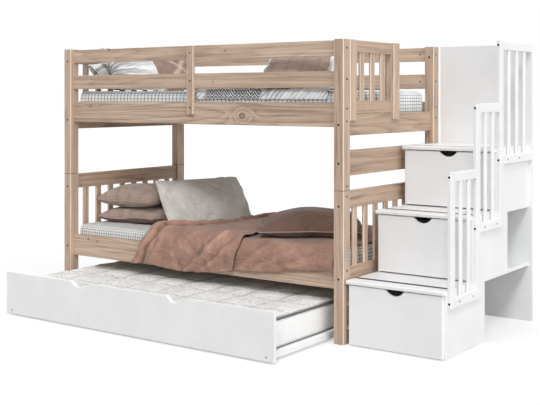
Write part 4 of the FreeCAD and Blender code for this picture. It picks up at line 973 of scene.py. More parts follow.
# ---------------------------------------------------------------- hard pieces
@dataclass
class Carpentry:
    """The CAD nodes that keep their shape, each with the finish of its real surface."""

    knot_y: float = 0.024
    upper_rail_knots: KNOTS = ((1.364, 1.143, 0.017), (0.205, 1.191, 0.009))
    lower_rail_knots: KNOTS = ((0.188, 0.379, 0.007), (0.262, 0.371, 0.006))
    guard_knots: KNOTS = ((0.362, 1.531, 0.010), (1.247, 1.500, 0.006), (1.160, 1.330, 0.005))

    def knotted(self, name: str, places: KNOTS, contrast: float) -> Timber:
        """Timber along the bed with knots of a radius at places along and up its front face."""
        knots = tuple((x, self.knot_y, z, radius) for x, z, radius in places)
        return Timber(name, Grain.ALONG, knots=knots, contrast=contrast)

    def treads(self) -> Lacquer:
        """Lacquer of the treads, with painted shade inside the gap ahead of each step's rear
        board.
        """
        boards = [low[1] for low, _ in solids_of("stair_treads")]
        return GappedLacquer("tread lacquer", gaps=tuple(float(y) for y in boards[1::2]))

    def finishes(self) -> dict[str, Finish]:
        """Finish of each CAD node, found by how its name starts; all others are white."""
        starts: dict[str, Finish] = {
            "upper_side_rails": self.knotted("washed timber upper rail", self.upper_rail_knots,
                                             0.40),
            "lower_side_rails": self.knotted("washed timber lower rail", self.lower_rail_knots,
                                             0.24),
            "guard_rails": self.knotted("washed timber guard", self.guard_knots, 0.24),
            "stair_treads": self.treads(), "entry_guard_rails": TIMBER_CALM,
            "trundle_wheel": WHEEL_PLASTIC}
        for finish, names in (
                (TIMBER_ACROSS, ("lower_end_rails", "upper_head_rails", "upper_foot_rails")),
                (TIMBER_POST, ("lower_post", "upper_post")),
                (TIMBER_SLAT, ("entry_guard_slats", "end_slats")),
                (TIMBER_UP, ("entry_guard_posts", "guard_battens")),
                (PLAIN_ALONG, ("mattress_cleats", "stair_dowels_and_spacers")),
                (PLAIN_ACROSS, ("bed_slats", "trundle_slats")),
                (TRUNDLE_STEEL, ("trundle_casters", "trundle_bolts", "drawer_runners")),
                (DARK_STEEL, ("stair_bolts", "frame_bolts_and_screws", "barrel_nuts_and_pins")),
                (DRAWER_BOARD, ("drawer_1_box", "drawer_2_box", "drawer_3_box"))):
            starts.update(dict.fromkeys(names, finish))
        return {node: next((finish for start, finish in starts.items()
                            if node.startswith(start)), WHITE_BOARD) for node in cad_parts}

    def dress(self) -> None:
        """Puts each finish on its node."""
        for node, finish in self.finishes().items():
            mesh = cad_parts[node].data
            mesh.materials.clear()
            mesh.materials.append(finish.material())
            LOG.info("%s: %s", node, finish.name)


# ---------------------------------------------------------------- mattresses
@dataclass
class Mattress:
    """Soft slab with rounded edges, in a fitted sheet or ticking."""

    node: str
    finish: Finish
    body: str
    slot: str
    ease: float = 0.028
    cell: float = 0.022
    pucker: float = 0.0025
    swell: float = 0.004
    piping_drop: float = 0.0
    piping_radius: float = 0.005
    side_stretch: float = 1.0
    seed: int = 1

    def skin(self) -> SURFACE:
        """Rounded slab: each point of a box's six gridded sides goes to q + e (p - q) / |p - q|,
        where q is the nearest point of the box drawn in by the ease e.

        Returns:
            Points, faces and flat coordinates, which run on over the edges from the top.
        """
        low, high = corners(self.node)
        low, high = low + 0.0005, high - 0.0005
        parts = []
        for axis in range(3):
            one, two = [other for other in range(3) if other != axis]
            counts = [max(6, int(round((high[i] - low[i]) / self.cell))) + 1 for i in (one, two)]
            for end, face_at in ((0, low), (1, high)):
                grid = np.empty((*counts, 3))
                grid[..., one] = np.linspace(low[one], high[one], counts[0])[:, None]
                grid[..., two] = np.linspace(low[two], high[two], counts[1])[None]
                grid[..., axis] = face_at[axis]
                flat = grid[..., :2].copy()
                if axis < 2:
                    flat[..., axis] += ((high[2] - grid[..., 2]) * self.side_stretch
                                        * (1 if end else -1))
                squares = grid_faces(*counts)
                outward = (axis == 1) != bool(end)
                parts.append((grid.reshape(-1, 3), squares if outward else squares[:, ::-1],
                              flat.reshape(-1, 2)))
        points, faces, flat = joined(parts)
        inner = np.clip(points, low + self.ease, high - self.ease)
        away = points - inner
        away /= np.linalg.norm(away, axis=1, keepdims=True)
        return inner + self.ease * away, faces, flat

    def shape(self, points: np.ndarray) -> np.ndarray:
        """Draws the sides in at top and bottom, leaves them full in the middle, and puckers them.

        The side goes in by swell (2t - 1)^2 at height share t, and the cloth by a crumple that is
        strongest on the sides.
        """
        low, high = corners(self.node)
        middle = (low + high) / 2
        share = (points[:, 2] - low[2]) / (high[2] - low[2])
        draw = self.swell * (2 * share - 1) ** 2 + 0.0005
        side = np.abs(points - middle)[:, :2]
        rim = unit(((side / (high - middle)[:2]).max(1) - 0.86) / 0.14)
        flat = np.stack([points[:, 0] + points[:, 1], points[:, 2] * 0.6], 1)
        pucker = self.pucker * crumple(flat, 0.07, self.seed, 90.0, 2.0) * rim
        moved = points.copy()
        near = side > (high - middle)[:2] - self.ease
        moved[:, :2] += np.sign(middle - points)[:, :2] * near * (draw + pucker)[:, None]
        top = points[:, 2] > high[2] - self.ease
        moved[:, 2] -= top * self.pucker * crumple(points[:, :2], 0.16, self.seed + 5)
        return moved

    def piping(self) -> None:
        """Cord sewn round the upper edge of the slab's sides."""
        low, high = corners(self.node)
        out = self.piping_radius
        x0, y0 = low[:2] + out
        x1, y1 = high[:2] - out
        turn = self.ease
        angle = np.linspace(0, math.pi / 2, 9)
        arcs = []
        for number, (x, y) in enumerate(((x1 - turn, y1 - turn), (x0 + turn, y1 - turn),
                                         (x0 + turn, y0 + turn), (x1 - turn, y0 + turn))):
            at = angle + number * math.pi / 2
            arcs.append(np.stack([x + turn * np.cos(at), y + turn * np.sin(at)], 1))
        ring = np.concatenate(arcs)
        path = np.column_stack([ring, np.full(len(ring), high[2] - self.piping_drop)])
        cord = make_piece(self.node + "_piping", *tube(path, out, 8, True), PIPING, self.body,
                          self.slot)
        merge_seams(cord)

    def build(self) -> bpy.types.Object:
        """Makes the mattress, and its piping if it has one."""
        points, faces, flat = self.skin()
        piece = make_piece(self.node + "_soft", self.shape(points), faces, flat, self.finish,
                           self.body, self.slot)
        merge_seams(piece)
        refine(piece)
        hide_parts(self.node)
        if self.piping_drop:
            self.piping()
        return piece


@dataclass
class Quilt:
    """Quilted cover: rows of puffs between stitched channels, gathered along the stitches."""

    node: str = "trundle_quilt"
    cells: tuple[int, int] = (8, 5)
    steps: int = 26
    low: float = 0.004
    gather: float = 0.0120
    gather_reach: float = 0.045
    sag: float = 0.0110
    proud: float = 0.011
    wander: float = 0.05
    thread: float = 0.0009

    def build(self) -> bpy.types.Object:
        """Makes the quilt.

        Each puff rises by h (1 - |2t - 1|^2.2)^0.55 both ways.  Gathers of a crumple that runs
        square to the nearest stitch fade as exp(-d / reach) from it.

        Returns:
            The quilt.
        """
        low, high = corners(self.node)
        size = high - low
        pitch = size[:2] / np.array(self.cells)
        counts = [cells * self.steps + 1 for cells in self.cells]
        u, v = np.broadcast_arrays(np.linspace(0, self.cells[0], counts[0])[:, None],
                                   np.linspace(0, self.cells[1], counts[1])[None])
        flat = np.stack([low[0] + u * pitch[0], low[1] + v * pitch[1]], -1)
        fade = unit(4 * np.minimum(np.minimum(u, self.cells[0] - u),
                                   np.minimum(v, self.cells[1] - v)))
        puff, gathers = 1.0, -0.8
        for axis, place in enumerate((u, v)):
            noise = lattice_noise(np.stack([u * 0.9, v * 0.9], -1), 3 + axis)
            share = (place + self.wander * noise * fade) % 1
            puff = puff * (1 - np.abs(2 * share - 1) ** 2.2) ** 0.55
            away = np.minimum(share, 1 - share) * pitch[axis]
            gathers = gathers + crumple(flat, 0.024, 21 + axis, 90.0 * axis, 3.0) * np.exp(
                -away / self.gather_reach)
        rise = size[2] + self.proud - self.low + self.gather * gathers
        rise = rise - self.sag * crumple(flat, 0.055, 23, 20.0, 2.2)
        z = np.clip(low[2] + self.low + rise * puff, low[2] + 0.002, high[2] + self.proud)
        hollow = hollows(z, 0.010, 4).ravel()
        top = np.concatenate([flat, z[..., None]], -1).reshape(-1, 3)
        under = top.copy()
        under[:, 2] = low[2] + 0.0005
        upper = grid_faces(*counts)[:, ::-1]
        number = np.arange(len(top)).reshape(counts)
        walls = [np.stack([rim[:-1], rim[:-1] + len(top), rim[1:] + len(top), rim[1:]], 1)
                 for rim in (number[0], number[-1, ::-1], number[::-1, 0], number[:, -1])]
        faces = np.concatenate([upper, upper[:, ::-1] + len(top), *walls])
        piece = make_piece(self.node + "_soft", np.concatenate([top, under]), faces,
                           np.concatenate([flat.reshape(-1, 2)] * 2), QUILT_COTTON, "trundle",
                           "quilted_cotton", np.concatenate([hollow, 0 * hollow]))
        merge_seams(piece)
        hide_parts(self.node)
        self.stitches(low, high, pitch)
        return piece

    def stitches(self, low: np.ndarray, high: np.ndarray, pitch: np.ndarray) -> None:
        """Thread lying in the channels between the puffs."""
        threads = []
        for axis in (0, 1):
            for index in range(1, self.cells[axis]):
                path = np.full((60, 3), low[2] + self.low + 0.0012)
                path[:, axis] = low[axis] + index * pitch[axis]
                path[:, 1 - axis] = np.linspace(low[1 - axis] + 0.01, high[1 - axis] - 0.01, 60)
                threads.append(tube(path, self.thread, 5, False))
        make_piece("quilt_stitches", *joined(threads), TICKING, "trundle", "quilted_cotton")


# ---------------------------------------------------------------- folds
@dataclass
class Fold:
    """A fold of cloth between two points of its flat coordinates, along the bed and down it."""

    start: tuple[float, float]
    end: tuple[float, float]
    width: float
    height: float
    bow: float = 0.0
    steep: float = 0.35
    waver: float = 0.006
    past: float = 0.12

    def rise(self, flat: np.ndarray) -> np.ndarray:
        """Height h exp(-(d / w)^2) at distance d from the bowed line, with w smaller by the
        steep share on one side, fading past its ends."""
        start, way = np.array(self.start), np.array(self.end) - np.array(self.start)
        length = float(np.hypot(*way))
        share = ((flat - start) @ way) / length ** 2
        across = ((flat - start) @ np.array([-way[1], way[0]])) / length
        away = across - self.bow * 4 * unit(share) * (1 - unit(share))
        away = away + self.waver * ripple(share * length / 0.05, 3)
        width = np.where(away > 0, self.width, self.steep * self.width)
        taper = smooth(5 * np.minimum(share + self.past, 1 + self.past - share))
        return self.height * np.exp(-(away / width) ** 2) * taper


# ---------------------------------------------------------------- pillows
COTTON = {"quality": 5, "mass": 0.25, "tension_stiffness": 22, "compression_stiffness": 22,
          "shear_stiffness": 6, "bending_stiffness": 0.12, "use_pressure": True}


@dataclass
class Pillow:
    """Pillow sewn from two flat pieces, blown up by a cloth simulation and set down."""

    name: str
    node: str
    order: int
    size: tuple[float, float, float]
    turn: float
    lean: float
    finish: Finish
    slot: str
    pressure: float = 4.0
    slack: float = 0.03
    cell: float = 0.014
    dents: float = 0.006
    dent_size: float = 0.11
    flatten: float = 0.0
    piping: float = 0.0
    cord: Finish | None = None
    under_finish: Finish | None = None
    outline: float = 0.22
    fullness: float = 0.85
    pucker: float = 0.004
    creases: tuple[Fold, ...] = ()
    fill: float = 0.6
    seed: int = 1
    upper_share: float = 0.6
    nudge: tuple[float, float, float] = (0.0, 0.0, 0.0)
    frames: int = 22
    rim: np.ndarray = field(default_factory=lambda: np.empty(0, int))
    counts: tuple[int, int] = (0, 0)

    def sewn(self) -> SURFACE:
        """Two flat sheets that share their rim, bowed by a lens (1 - 4u^2)(1 - 4v^2).

        Returns:
            Points about the middle of the seam, faces and flat coordinates.
        """
        width, depth, thick = self.size
        self.counts = (int(round(width / self.cell)) + 1, int(round(depth / self.cell)) + 1)
        u, v = np.broadcast_arrays(np.linspace(-0.5, 0.5, self.counts[0])[:, None],
                                   np.linspace(-0.5, 0.5, self.counts[1])[None])
        lens = (1 - 4 * u * u) * (1 - 4 * v * v)
        flat = np.stack([u * width, v * depth], -1)
        bow = 0.10 * thick * lens + 0.004 * lattice_noise(flat / 0.06, self.seed) * np.sqrt(lens)
        number = np.arange(u.size).reshape(u.shape)
        inner = np.zeros(u.shape, bool)
        inner[1:-1, 1:-1] = True
        under = number.copy()
        under[inner] = u.size + np.arange(inner.sum())
        top = np.concatenate([flat, bow[..., None]], -1).reshape(-1, 3)
        below = np.concatenate([flat, -bow[..., None]], -1)[inner]
        squares = grid_faces(*self.counts)
        faces = np.concatenate([squares[:, ::-1], under.ravel()[squares]])
        self.rim = np.concatenate([number[:-1, 0], number[-1, :-1], number[:0:-1, -1],
                                   number[0, :0:-1]])
        return (np.concatenate([top, below]), faces,
                np.concatenate([flat.reshape(-1, 2), flat[inner]]))

    def blown(self, points: np.ndarray, faces: np.ndarray) -> np.ndarray:
        """Points after the two sheets have been blown up by the cloth simulation."""
        mesh = bpy.data.meshes.new("blowing")
        mesh.from_pydata(points.tolist(), [], faces.tolist())
        piece = stand("blowing", mesh)
        scene = bpy.context.scene
        modifier = piece.modifiers.new("Cloth", "CLOTH")
        for label, value in COTTON.items():
            setattr(modifier.settings, label, value)
        modifier.settings.uniform_pressure_force = self.pressure
        modifier.settings.shrink_min = -self.slack
        modifier.settings.effector_weights.gravity = 0
        modifier.point_cache.frame_start = 1
        modifier.point_cache.frame_end = self.frames
        for number in range(1, self.frames + 1):
            scene.frame_set(number)
        result = piece.evaluated_get(bpy.context.evaluated_depsgraph_get()).data
        moved = read(result.vertices, "co", 3, float)
        bpy.data.objects.remove(piece)
        bpy.data.meshes.remove(mesh)
        scene.frame_set(1)
        return moved

    def straightened(self, points: np.ndarray, flat: np.ndarray) -> np.ndarray:
        """Gives back most of what the sides were drawn in.

        The sideways shift of the four sides is carried inwards as a Coons patch, the sum of the
        two mixes of opposite sides less the mix of the corners, and taken off all points.

        Args:
            points: Points of the blown pillow.
            flat: Their flat coordinates.

        Returns:
            The points with straighter sides.
        """
        count = self.counts[0] * self.counts[1]
        shift = (points[:, :2] - flat)[:count].reshape(*self.counts, 2)
        s, t = flat[:, :1] / self.size[0] + 0.5, flat[:, 1:] / self.size[1] + 0.5

        def along(values: np.ndarray, share: np.ndarray) -> np.ndarray:
            """Shift of a side at shares of its length."""
            places = np.linspace(0, 1, len(values))
            return np.stack([np.interp(share[:, 0], places, values[:, i]) for i in (0, 1)], 1)

        patch = ((1 - s) * along(shift[0], t) + s * along(shift[-1], t)
                 + (1 - t) * along(shift[:, 0], s) + t * along(shift[:, -1], s)
                 - (1 - s) * (1 - t) * shift[0, 0] - s * (1 - t) * shift[-1, 0]
                 - (1 - s) * t * shift[0, -1] - s * t * shift[-1, -1])
        moved = points.copy()
        moved[:, :2] -= (1 - self.outline) * patch
        return moved

    def fitted(self, points: np.ndarray, flat: np.ndarray) -> tuple[np.ndarray, np.ndarray]:
        """The blown shape brought to the pillow's real size, creased, and flat where it rests.

        Args:
            points: Points of the blown pillow.
            flat: Their flat coordinates.

        Returns:
            The points, and how deep each lies in a crease.
        """
        points = self.straightened(points, flat)
        span = points.max(0) - points.min(0)
        points = (points - (points.max(0) + points.min(0)) / 2) * (np.array(self.size) / span)
        upper = points[:, 2] > 0
        half = self.size[2] / 2
        full = (np.abs(points[:, 2]) / half) ** self.fullness
        points[:, 2] = np.sign(points[:, 2]) * half * full
        points[:, 2] *= np.where(upper, 2 * self.upper_share, 2 * (1 - self.upper_share))
        share = np.abs(2 * flat / np.array(self.size[:2]))
        inside = unit(1 - share.max(1))
        gathers = np.where(share[:, 0] > share[:, 1],
                           crumple(flat, 0.022, self.seed + 41, 0.0, 3.5),
                           crumple(flat, 0.022, self.seed + 43, 90.0, 3.5))
        gathers = self.pucker * gathers * np.exp(-(inside / 0.30) ** 2) * 2
        dent = self.dents * crumple(flat, self.dent_size, self.seed + 31, 35.0, 1.5)
        dent = dent + gathers - sum(fold.rise(flat) for fold in self.creases)
        dent = dent * np.sqrt(inside)
        points[:, 2] -= np.where(upper, dent, -0.6 * dent)
        if self.flatten:
            floor = -self.size[2] * (1 - self.upper_share) * (1 - self.flatten)
            points[:, 2] = np.maximum(points[:, 2], floor)
        count = self.counts[0] * self.counts[1]
        hollow = np.zeros(len(points))
        hollow[:count] = hollows(-dent[:count].reshape(self.counts), 0.004, 3).ravel()
        return points, hollow

    def placed(self, points: np.ndarray) -> np.ndarray:
        """Leant about X, turned about Z, and set where the pillow's CAD solid lies."""
        turned = Matrix.Rotation(math.radians(self.turn), 3, "Z") @ Matrix.Rotation(
            math.radians(self.lean), 3, "X")
        points = points @ np.array(turned).T
        low, high = solids_of(self.node)[self.order]
        middle = (points.max(0) + points.min(0)) / 2
        goal = (low + high) / 2
        goal[2] = low[2] + (points.max(0) - points.min(0))[2] / 2
        return points - middle + goal + np.array(self.nudge)

    def build(self) -> bpy.types.Object:
        """Makes the pillow and the cord along its seam."""
        points, faces, flat = self.sewn()
        points, hollow = self.fitted(self.blown(points, faces), flat)
        below = points[faces].mean(1)[:, 2] < 0
        points = self.placed(points)
        piece = make_piece(self.name, points, faces, flat, self.finish, "frame", self.slot, hollow)
        if self.under_finish:
            piece.data.materials.append(self.under_finish.material())
            piece.data.polygons.foreach_set("material_index", below.astype(int))
        refine(piece)
        if self.piping:
            make_piece(self.name + "_piping", *tube(points[self.rim], self.piping, 8, True),
                       self.cord or self.finish, "frame", self.slot)
        return piece


# ---------------------------------------------------------------- blankets
@dataclass
class Drape:
    """Path that cloth takes over a mattress's top, round its front edge and down."""

    mattress: str
    hang_y: float
    ledge_z: float
    floor_z: float
    soften: float = 0.012
    step: float = 0.002
    run: np.ndarray = field(default_factory=lambda: np.empty(0))
    path: np.ndarray = field(default_factory=lambda: np.empty(0))
    out: np.ndarray = field(default_factory=lambda: np.empty(0))

    def __post_init__(self) -> None:
        """Lays the path as straight runs, then rounds it by a moving mean of Gaussian weights."""
        low, high = corners(self.mattress)
        top = high[2] + 0.001
        knots = np.array([(high[1] - 0.03, top), (low[1] + 0.012, top), (low[1], top - 0.014),
                          (self.hang_y, self.ledge_z), (self.hang_y, self.floor_z)])
        steps = np.linalg.norm(np.diff(knots, axis=0), axis=1)
        runs = np.concatenate([[0], np.cumsum(steps)])
        self.run = np.arange(0, runs[-1], self.step)
        path = np.column_stack([np.interp(self.run, runs, knots[:, i]) for i in (0, 1)])
        reach = int(3 * self.soften / self.step)
        weight = np.exp(-(np.arange(-reach, reach + 1) * self.step / self.soften) ** 2 / 2)
        weight /= weight.sum()
        padded = np.vstack([2 * path[0] - path[reach:0:-1], path,
                            2 * path[-1] - path[-2:-reach - 2:-1]])
        self.path = np.column_stack([np.convolve(padded[:, i], weight, "valid") for i in (0, 1)])
        tangent = np.gradient(self.path, axis=0)
        tangent /= np.linalg.norm(tangent, axis=1, keepdims=True)
        self.out = np.column_stack([tangent[:, 1], -tangent[:, 0]])
        self.run = self.run - runs[1]

    def down_to(self, z: np.ndarray) -> np.ndarray:
        """Flat coordinate at which the path has come down to a height."""
        return np.interp(-z, -self.path[:, 1], self.run)

    def back_to(self, y: float) -> float:
        """Flat coordinate of a place on the mattress's top."""
        return float(np.interp(-y, -self.path[:, 0], self.run))

    def carry(self, flat: np.ndarray, lift: np.ndarray) -> np.ndarray:
        """Points of cloth with given flat coordinates that stands off the path by a lift."""
        at = [np.interp(flat[..., 1], self.run, table[:, i])
              for table in (self.path, self.out) for i in (0, 1)]
        return np.stack([flat[..., 0], at[0] + lift * at[2], at[1] + lift * at[3]], -1)


@dataclass
class LowerBlanket:
    """Washed blanket over the lower bed: one layer to the foot, doubled and rolled at the left."""

    cell: float = 0.0087
    columns: int = 88
    cloth: float = 0.0035
    base_lift: float = 0.005
    upper_lift: float = 0.016
    roll_width: float = 0.066
    roll_height: float = 0.019
    groove: float = 0.015
    crease: float = 0.013
    rumple: float = 0.0095
    steep: float = 0.0065
    foot_share: float = 0.50
    edge: TABLE = (
        (-0.90, 0.885), (-0.72, 0.878), (-0.52, 0.884), (-0.34, 0.860), (-0.22, 0.815),
        (-0.15, 0.720), (-0.10, 0.655), (-0.05, 0.650), (0.02, 0.672), (0.10, 0.630),
        (0.22, 0.566))
    layer_end: TABLE = (
        (-0.90, 1.29), (-0.25, 1.295), (-0.02, 1.345), (0.05, 1.352), (0.12, 1.335),
        (0.24, 1.292))
    hems: TABLE = (
        (0.55, 0.276), (0.704, 0.285), (0.895, 0.269), (1.079, 0.274), (1.20, 0.286),
        (1.312, 0.302), (1.359, 0.308), (1.526, 0.317), (1.750, 0.345), (1.960, 0.365))
    first_x: float = 1.18
    back: float = 0.985
    folds: tuple[Fold, ...] = (                  # of the upper layer
        Fold((0.71, 0.19), (0.80, 0.03), 0.034, 0.010, 0.02),
        Fold((0.99, 0.21), (1.24, -0.03), 0.040, 0.020, 0.02),
        Fold((1.09, 0.20), (1.30, 0.04), 0.030, 0.012, 0.015),
        Fold((0.88, 0.13), (1.06, -0.01), 0.032, 0.007, -0.01),
        Fold((0.93, -0.01), (1.18, -0.12), 0.034, 0.008, 0.01),
        Fold((0.77, -0.02), (0.97, -0.16), 0.034, 0.008, 0.01))
    foot_folds: tuple[Fold, ...] = (             # of the single layer towards the foot
        Fold((1.35, 0.16), (1.56, -0.02), 0.034, 0.018, 0.015),
        Fold((1.43, 0.16), (1.70, 0.03), 0.030, 0.015, 0.010),
        Fold((1.56, 0.14), (1.86, 0.04), 0.034, 0.016, 0.015),
        Fold((1.68, 0.12), (1.93, 0.07), 0.024, 0.012, 0.0),
        Fold((1.38, 0.05), (1.52, -0.09), 0.030, 0.014, 0.01),
        Fold((1.60, 0.01), (1.93, -0.10), 0.044, 0.014, 0.02))

    def grid(self, left: TABLE, right: TABLE, drape: Drape) -> np.ndarray:
        """Flat coordinates of a layer between a left and a right edge, from the back to its hem.

        Args:
            left: Pairs of a flat place down the bed and the layer's left edge there.
            right: The same for its right edge.
            drape: The path that it follows.

        Returns:
            Rows from the back to the hem, columns from left to right.
        """
        back = drape.back_to(self.back)
        share = np.linspace(0, 1, int((0.24 - back) / self.cell))[:, None]
        t = np.linspace(0, 1, self.columns)[None]
        down = back + (0.2 - back) * share + 0 * t
        for _ in range(3):
            x = smooth_curve(left, down) * (1 - t) + smooth_curve(right, down) * t
            hem = drape.down_to(smooth_curve(self.hems, x[-1:])) + 0.003 * ripple(
                x[-1:] / 0.035, 5)
            down = back + (hem - back) * share
        return np.stack([x, down], -1)

    def lift(self, flat: np.ndarray, folds: tuple[Fold, ...], seed: int) -> np.ndarray:
        """Height of the folds and of the crumple between them, stronger where the cloth hangs."""
        hanging = 0.35 + 0.65 * unit((flat[..., 1] + 0.10) / 0.14)
        total = sum(fold.rise(flat) for fold in folds)
        for height, size, step, turn, stretch in (
                (self.crease, 0.115, 0, 40.0, 1.8), (self.rumple, 0.045, 11, 35.0, 1.6),
                (self.steep, 0.019, 23, 20.0, 1.4)):
            total = total + height * hanging * crumple(flat, size, seed + step, turn, stretch)
        return total

    def upper_layer(self, drape: Drape) -> bpy.types.Object:
        """The doubled part, with the thick roll of its folded edge.

        At distance d from the left edge the roll is h (8 t (1 - t) / 2)^0.5 high for t = d / w up
        to its width w, a groove follows it, and folds and crumple fill the rest.
        """
        flat = self.grid(self.edge, self.layer_end, drape)
        rim = flat[:, 0]
        away = np.sqrt(((flat[:, :, None] - rim[None, None, ::2]) ** 2).sum(-1)).min(-1)
        waver, fine = ripple(flat[..., 1] / 0.12, 9), ripple(flat[..., 1] / 0.035, 19)
        nearby = 0.72 + 0.28 * unit((flat[..., 1] + 0.4) / 0.4)
        width = self.roll_width * nearby * (1 + 0.22 * waver + 0.06 * fine)
        share = unit(away / width)
        roll = np.sqrt(unit(4 * share * (1 - share)))
        level = self.upper_lift * unit(away / 0.05) ** 0.5
        groove = -self.groove * np.exp(-((away - 1.02 * width) / 0.010) ** 2)
        body = unit((away - 1.05 * width) / 0.03)
        lift = (0.003 + level + self.roll_height * roll * (1 + 0.35 * waver + 0.12 * fine)
                + groove + body * self.lift(flat, self.folds, 41)
                + (1 - body) * (0.016 * crumple(flat, 0.06, 47, 80.0, 1.5)
                                + 0.009 * crumple(flat, 0.026, 48)))
        end = 0.02 * unit((smooth_curve(self.layer_end, flat[..., 1]) - flat[..., 0]) / 0.02)
        hemmed = 0.0012 * np.exp(-((end - 0.012) / 0.002) ** 2)
        piece = self.sheet("lower_blanket_fold", drape.carry(flat, lift - hemmed), flat, lift)
        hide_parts("lower_blanket")
        return piece

    def single_layer(self, drape: Drape) -> bpy.types.Object:
        """The part that runs from under the doubled one to the foot."""
        last = corners("lower_mattress")[1][0] - 0.006
        flat = self.grid(((-0.95, self.first_x), (0.30, self.first_x)),
                         ((-0.95, last), (0.30, last)), drape)
        under = unit((1.30 - flat[..., 0]) / 0.04)
        lift = self.lift(flat, self.foot_folds, 61)
        lift = self.base_lift + (1 - under) * self.foot_share * lift
        return self.sheet("lower_blanket_foot", drape.carry(flat, lift), flat, lift)

    def sheet(self, name: str, points: np.ndarray, flat: np.ndarray,
              lift: np.ndarray) -> bpy.types.Object:
        """One layer of the blanket; the area of its slanted outline is worked out and handed to
        lay.
        """
        area = float(np.abs(np.diff(flat[..., 0], axis=1)[:-1]
                            * np.diff(flat[..., 1], axis=0)[:, :-1]).sum())
        return lay(name, points, flat, hollows(lift, 0.0055, 2), TERRACOTTA, "terracotta_linen",
                   self.cloth, "lower_mattress_soft", area=area)

    def build(self) -> None:
        """Makes both layers."""
        rail_low, rail_high = corners("lower_side_rails")
        drape = Drape("lower_mattress", rail_low[1] - 0.004, rail_high[2] + 0.004, 0.2)
        self.single_layer(drape)
        self.upper_layer(drape)


@dataclass
class UpperBlanket:
    """Thin patterned blanket on the upper bed, rumpled on top and tucked behind the rail."""

    first_x: float = 1.02
    cell: float = 0.009
    cloth: float = 0.0012
    puff: float = 0.016
    tuck: float = 0.05
    folds: tuple[Fold, ...] = (
        Fold((1.250, 0.05), (1.300, -0.06), 0.018, 0.009),
        Fold((1.37, 0.04), (1.46, -0.10), 0.018, 0.008),
        Fold((1.52, 0.04), (1.62, -0.10), 0.020, 0.009),
        Fold((1.62, 0.04), (1.74, -0.10), 0.018, 0.008),
        Fold((1.70, 0.04), (1.86, -0.10), 0.020, 0.009))

    def build(self) -> bpy.types.Object:
        """Makes the blanket: the drape's path, lifted by a crumple and by slanted folds."""
        high = corners("upper_blanket")[1]
        bed_low, bed_high = corners("upper_mattress")
        drape = Drape("upper_mattress", bed_low[1] - 0.002, bed_high[2] - 0.03,
                      bed_high[2] - self.tuck - 0.02, soften=0.009)
        back = drape.back_to(high[1] - 0.004)
        hem = drape.down_to(np.array(bed_high[2] - self.tuck))
        x = np.linspace(self.first_x, high[0] - 0.002,
                        int((high[0] - self.first_x) / self.cell))[None]
        down = np.linspace(back, hem, int((hem - back) / self.cell))[:, None]
        flat = np.stack(np.broadcast_arrays(x, down), -1)
        lift = 0.0012 + 0.55 * self.puff * crumple(flat, 0.10, 71, 50.0, 2.0)
        lift = lift + 0.2 * self.puff * crumple(flat, 0.035, 77, 50.0, 1.6)
        lift = lift + sum(fold.rise(flat) for fold in self.folds)
        lift = lift * (1 - 0.55 * unit((flat[..., 1] + 0.005) / 0.03))
        piece = lay("upper_blanket_soft", drape.carry(flat, lift), flat, hollows(lift, 0.005, 2),
                    HERRINGBONE, "patterned_cotton", self.cloth, "upper_mattress_soft")
        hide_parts("upper_blanket")
        return piece


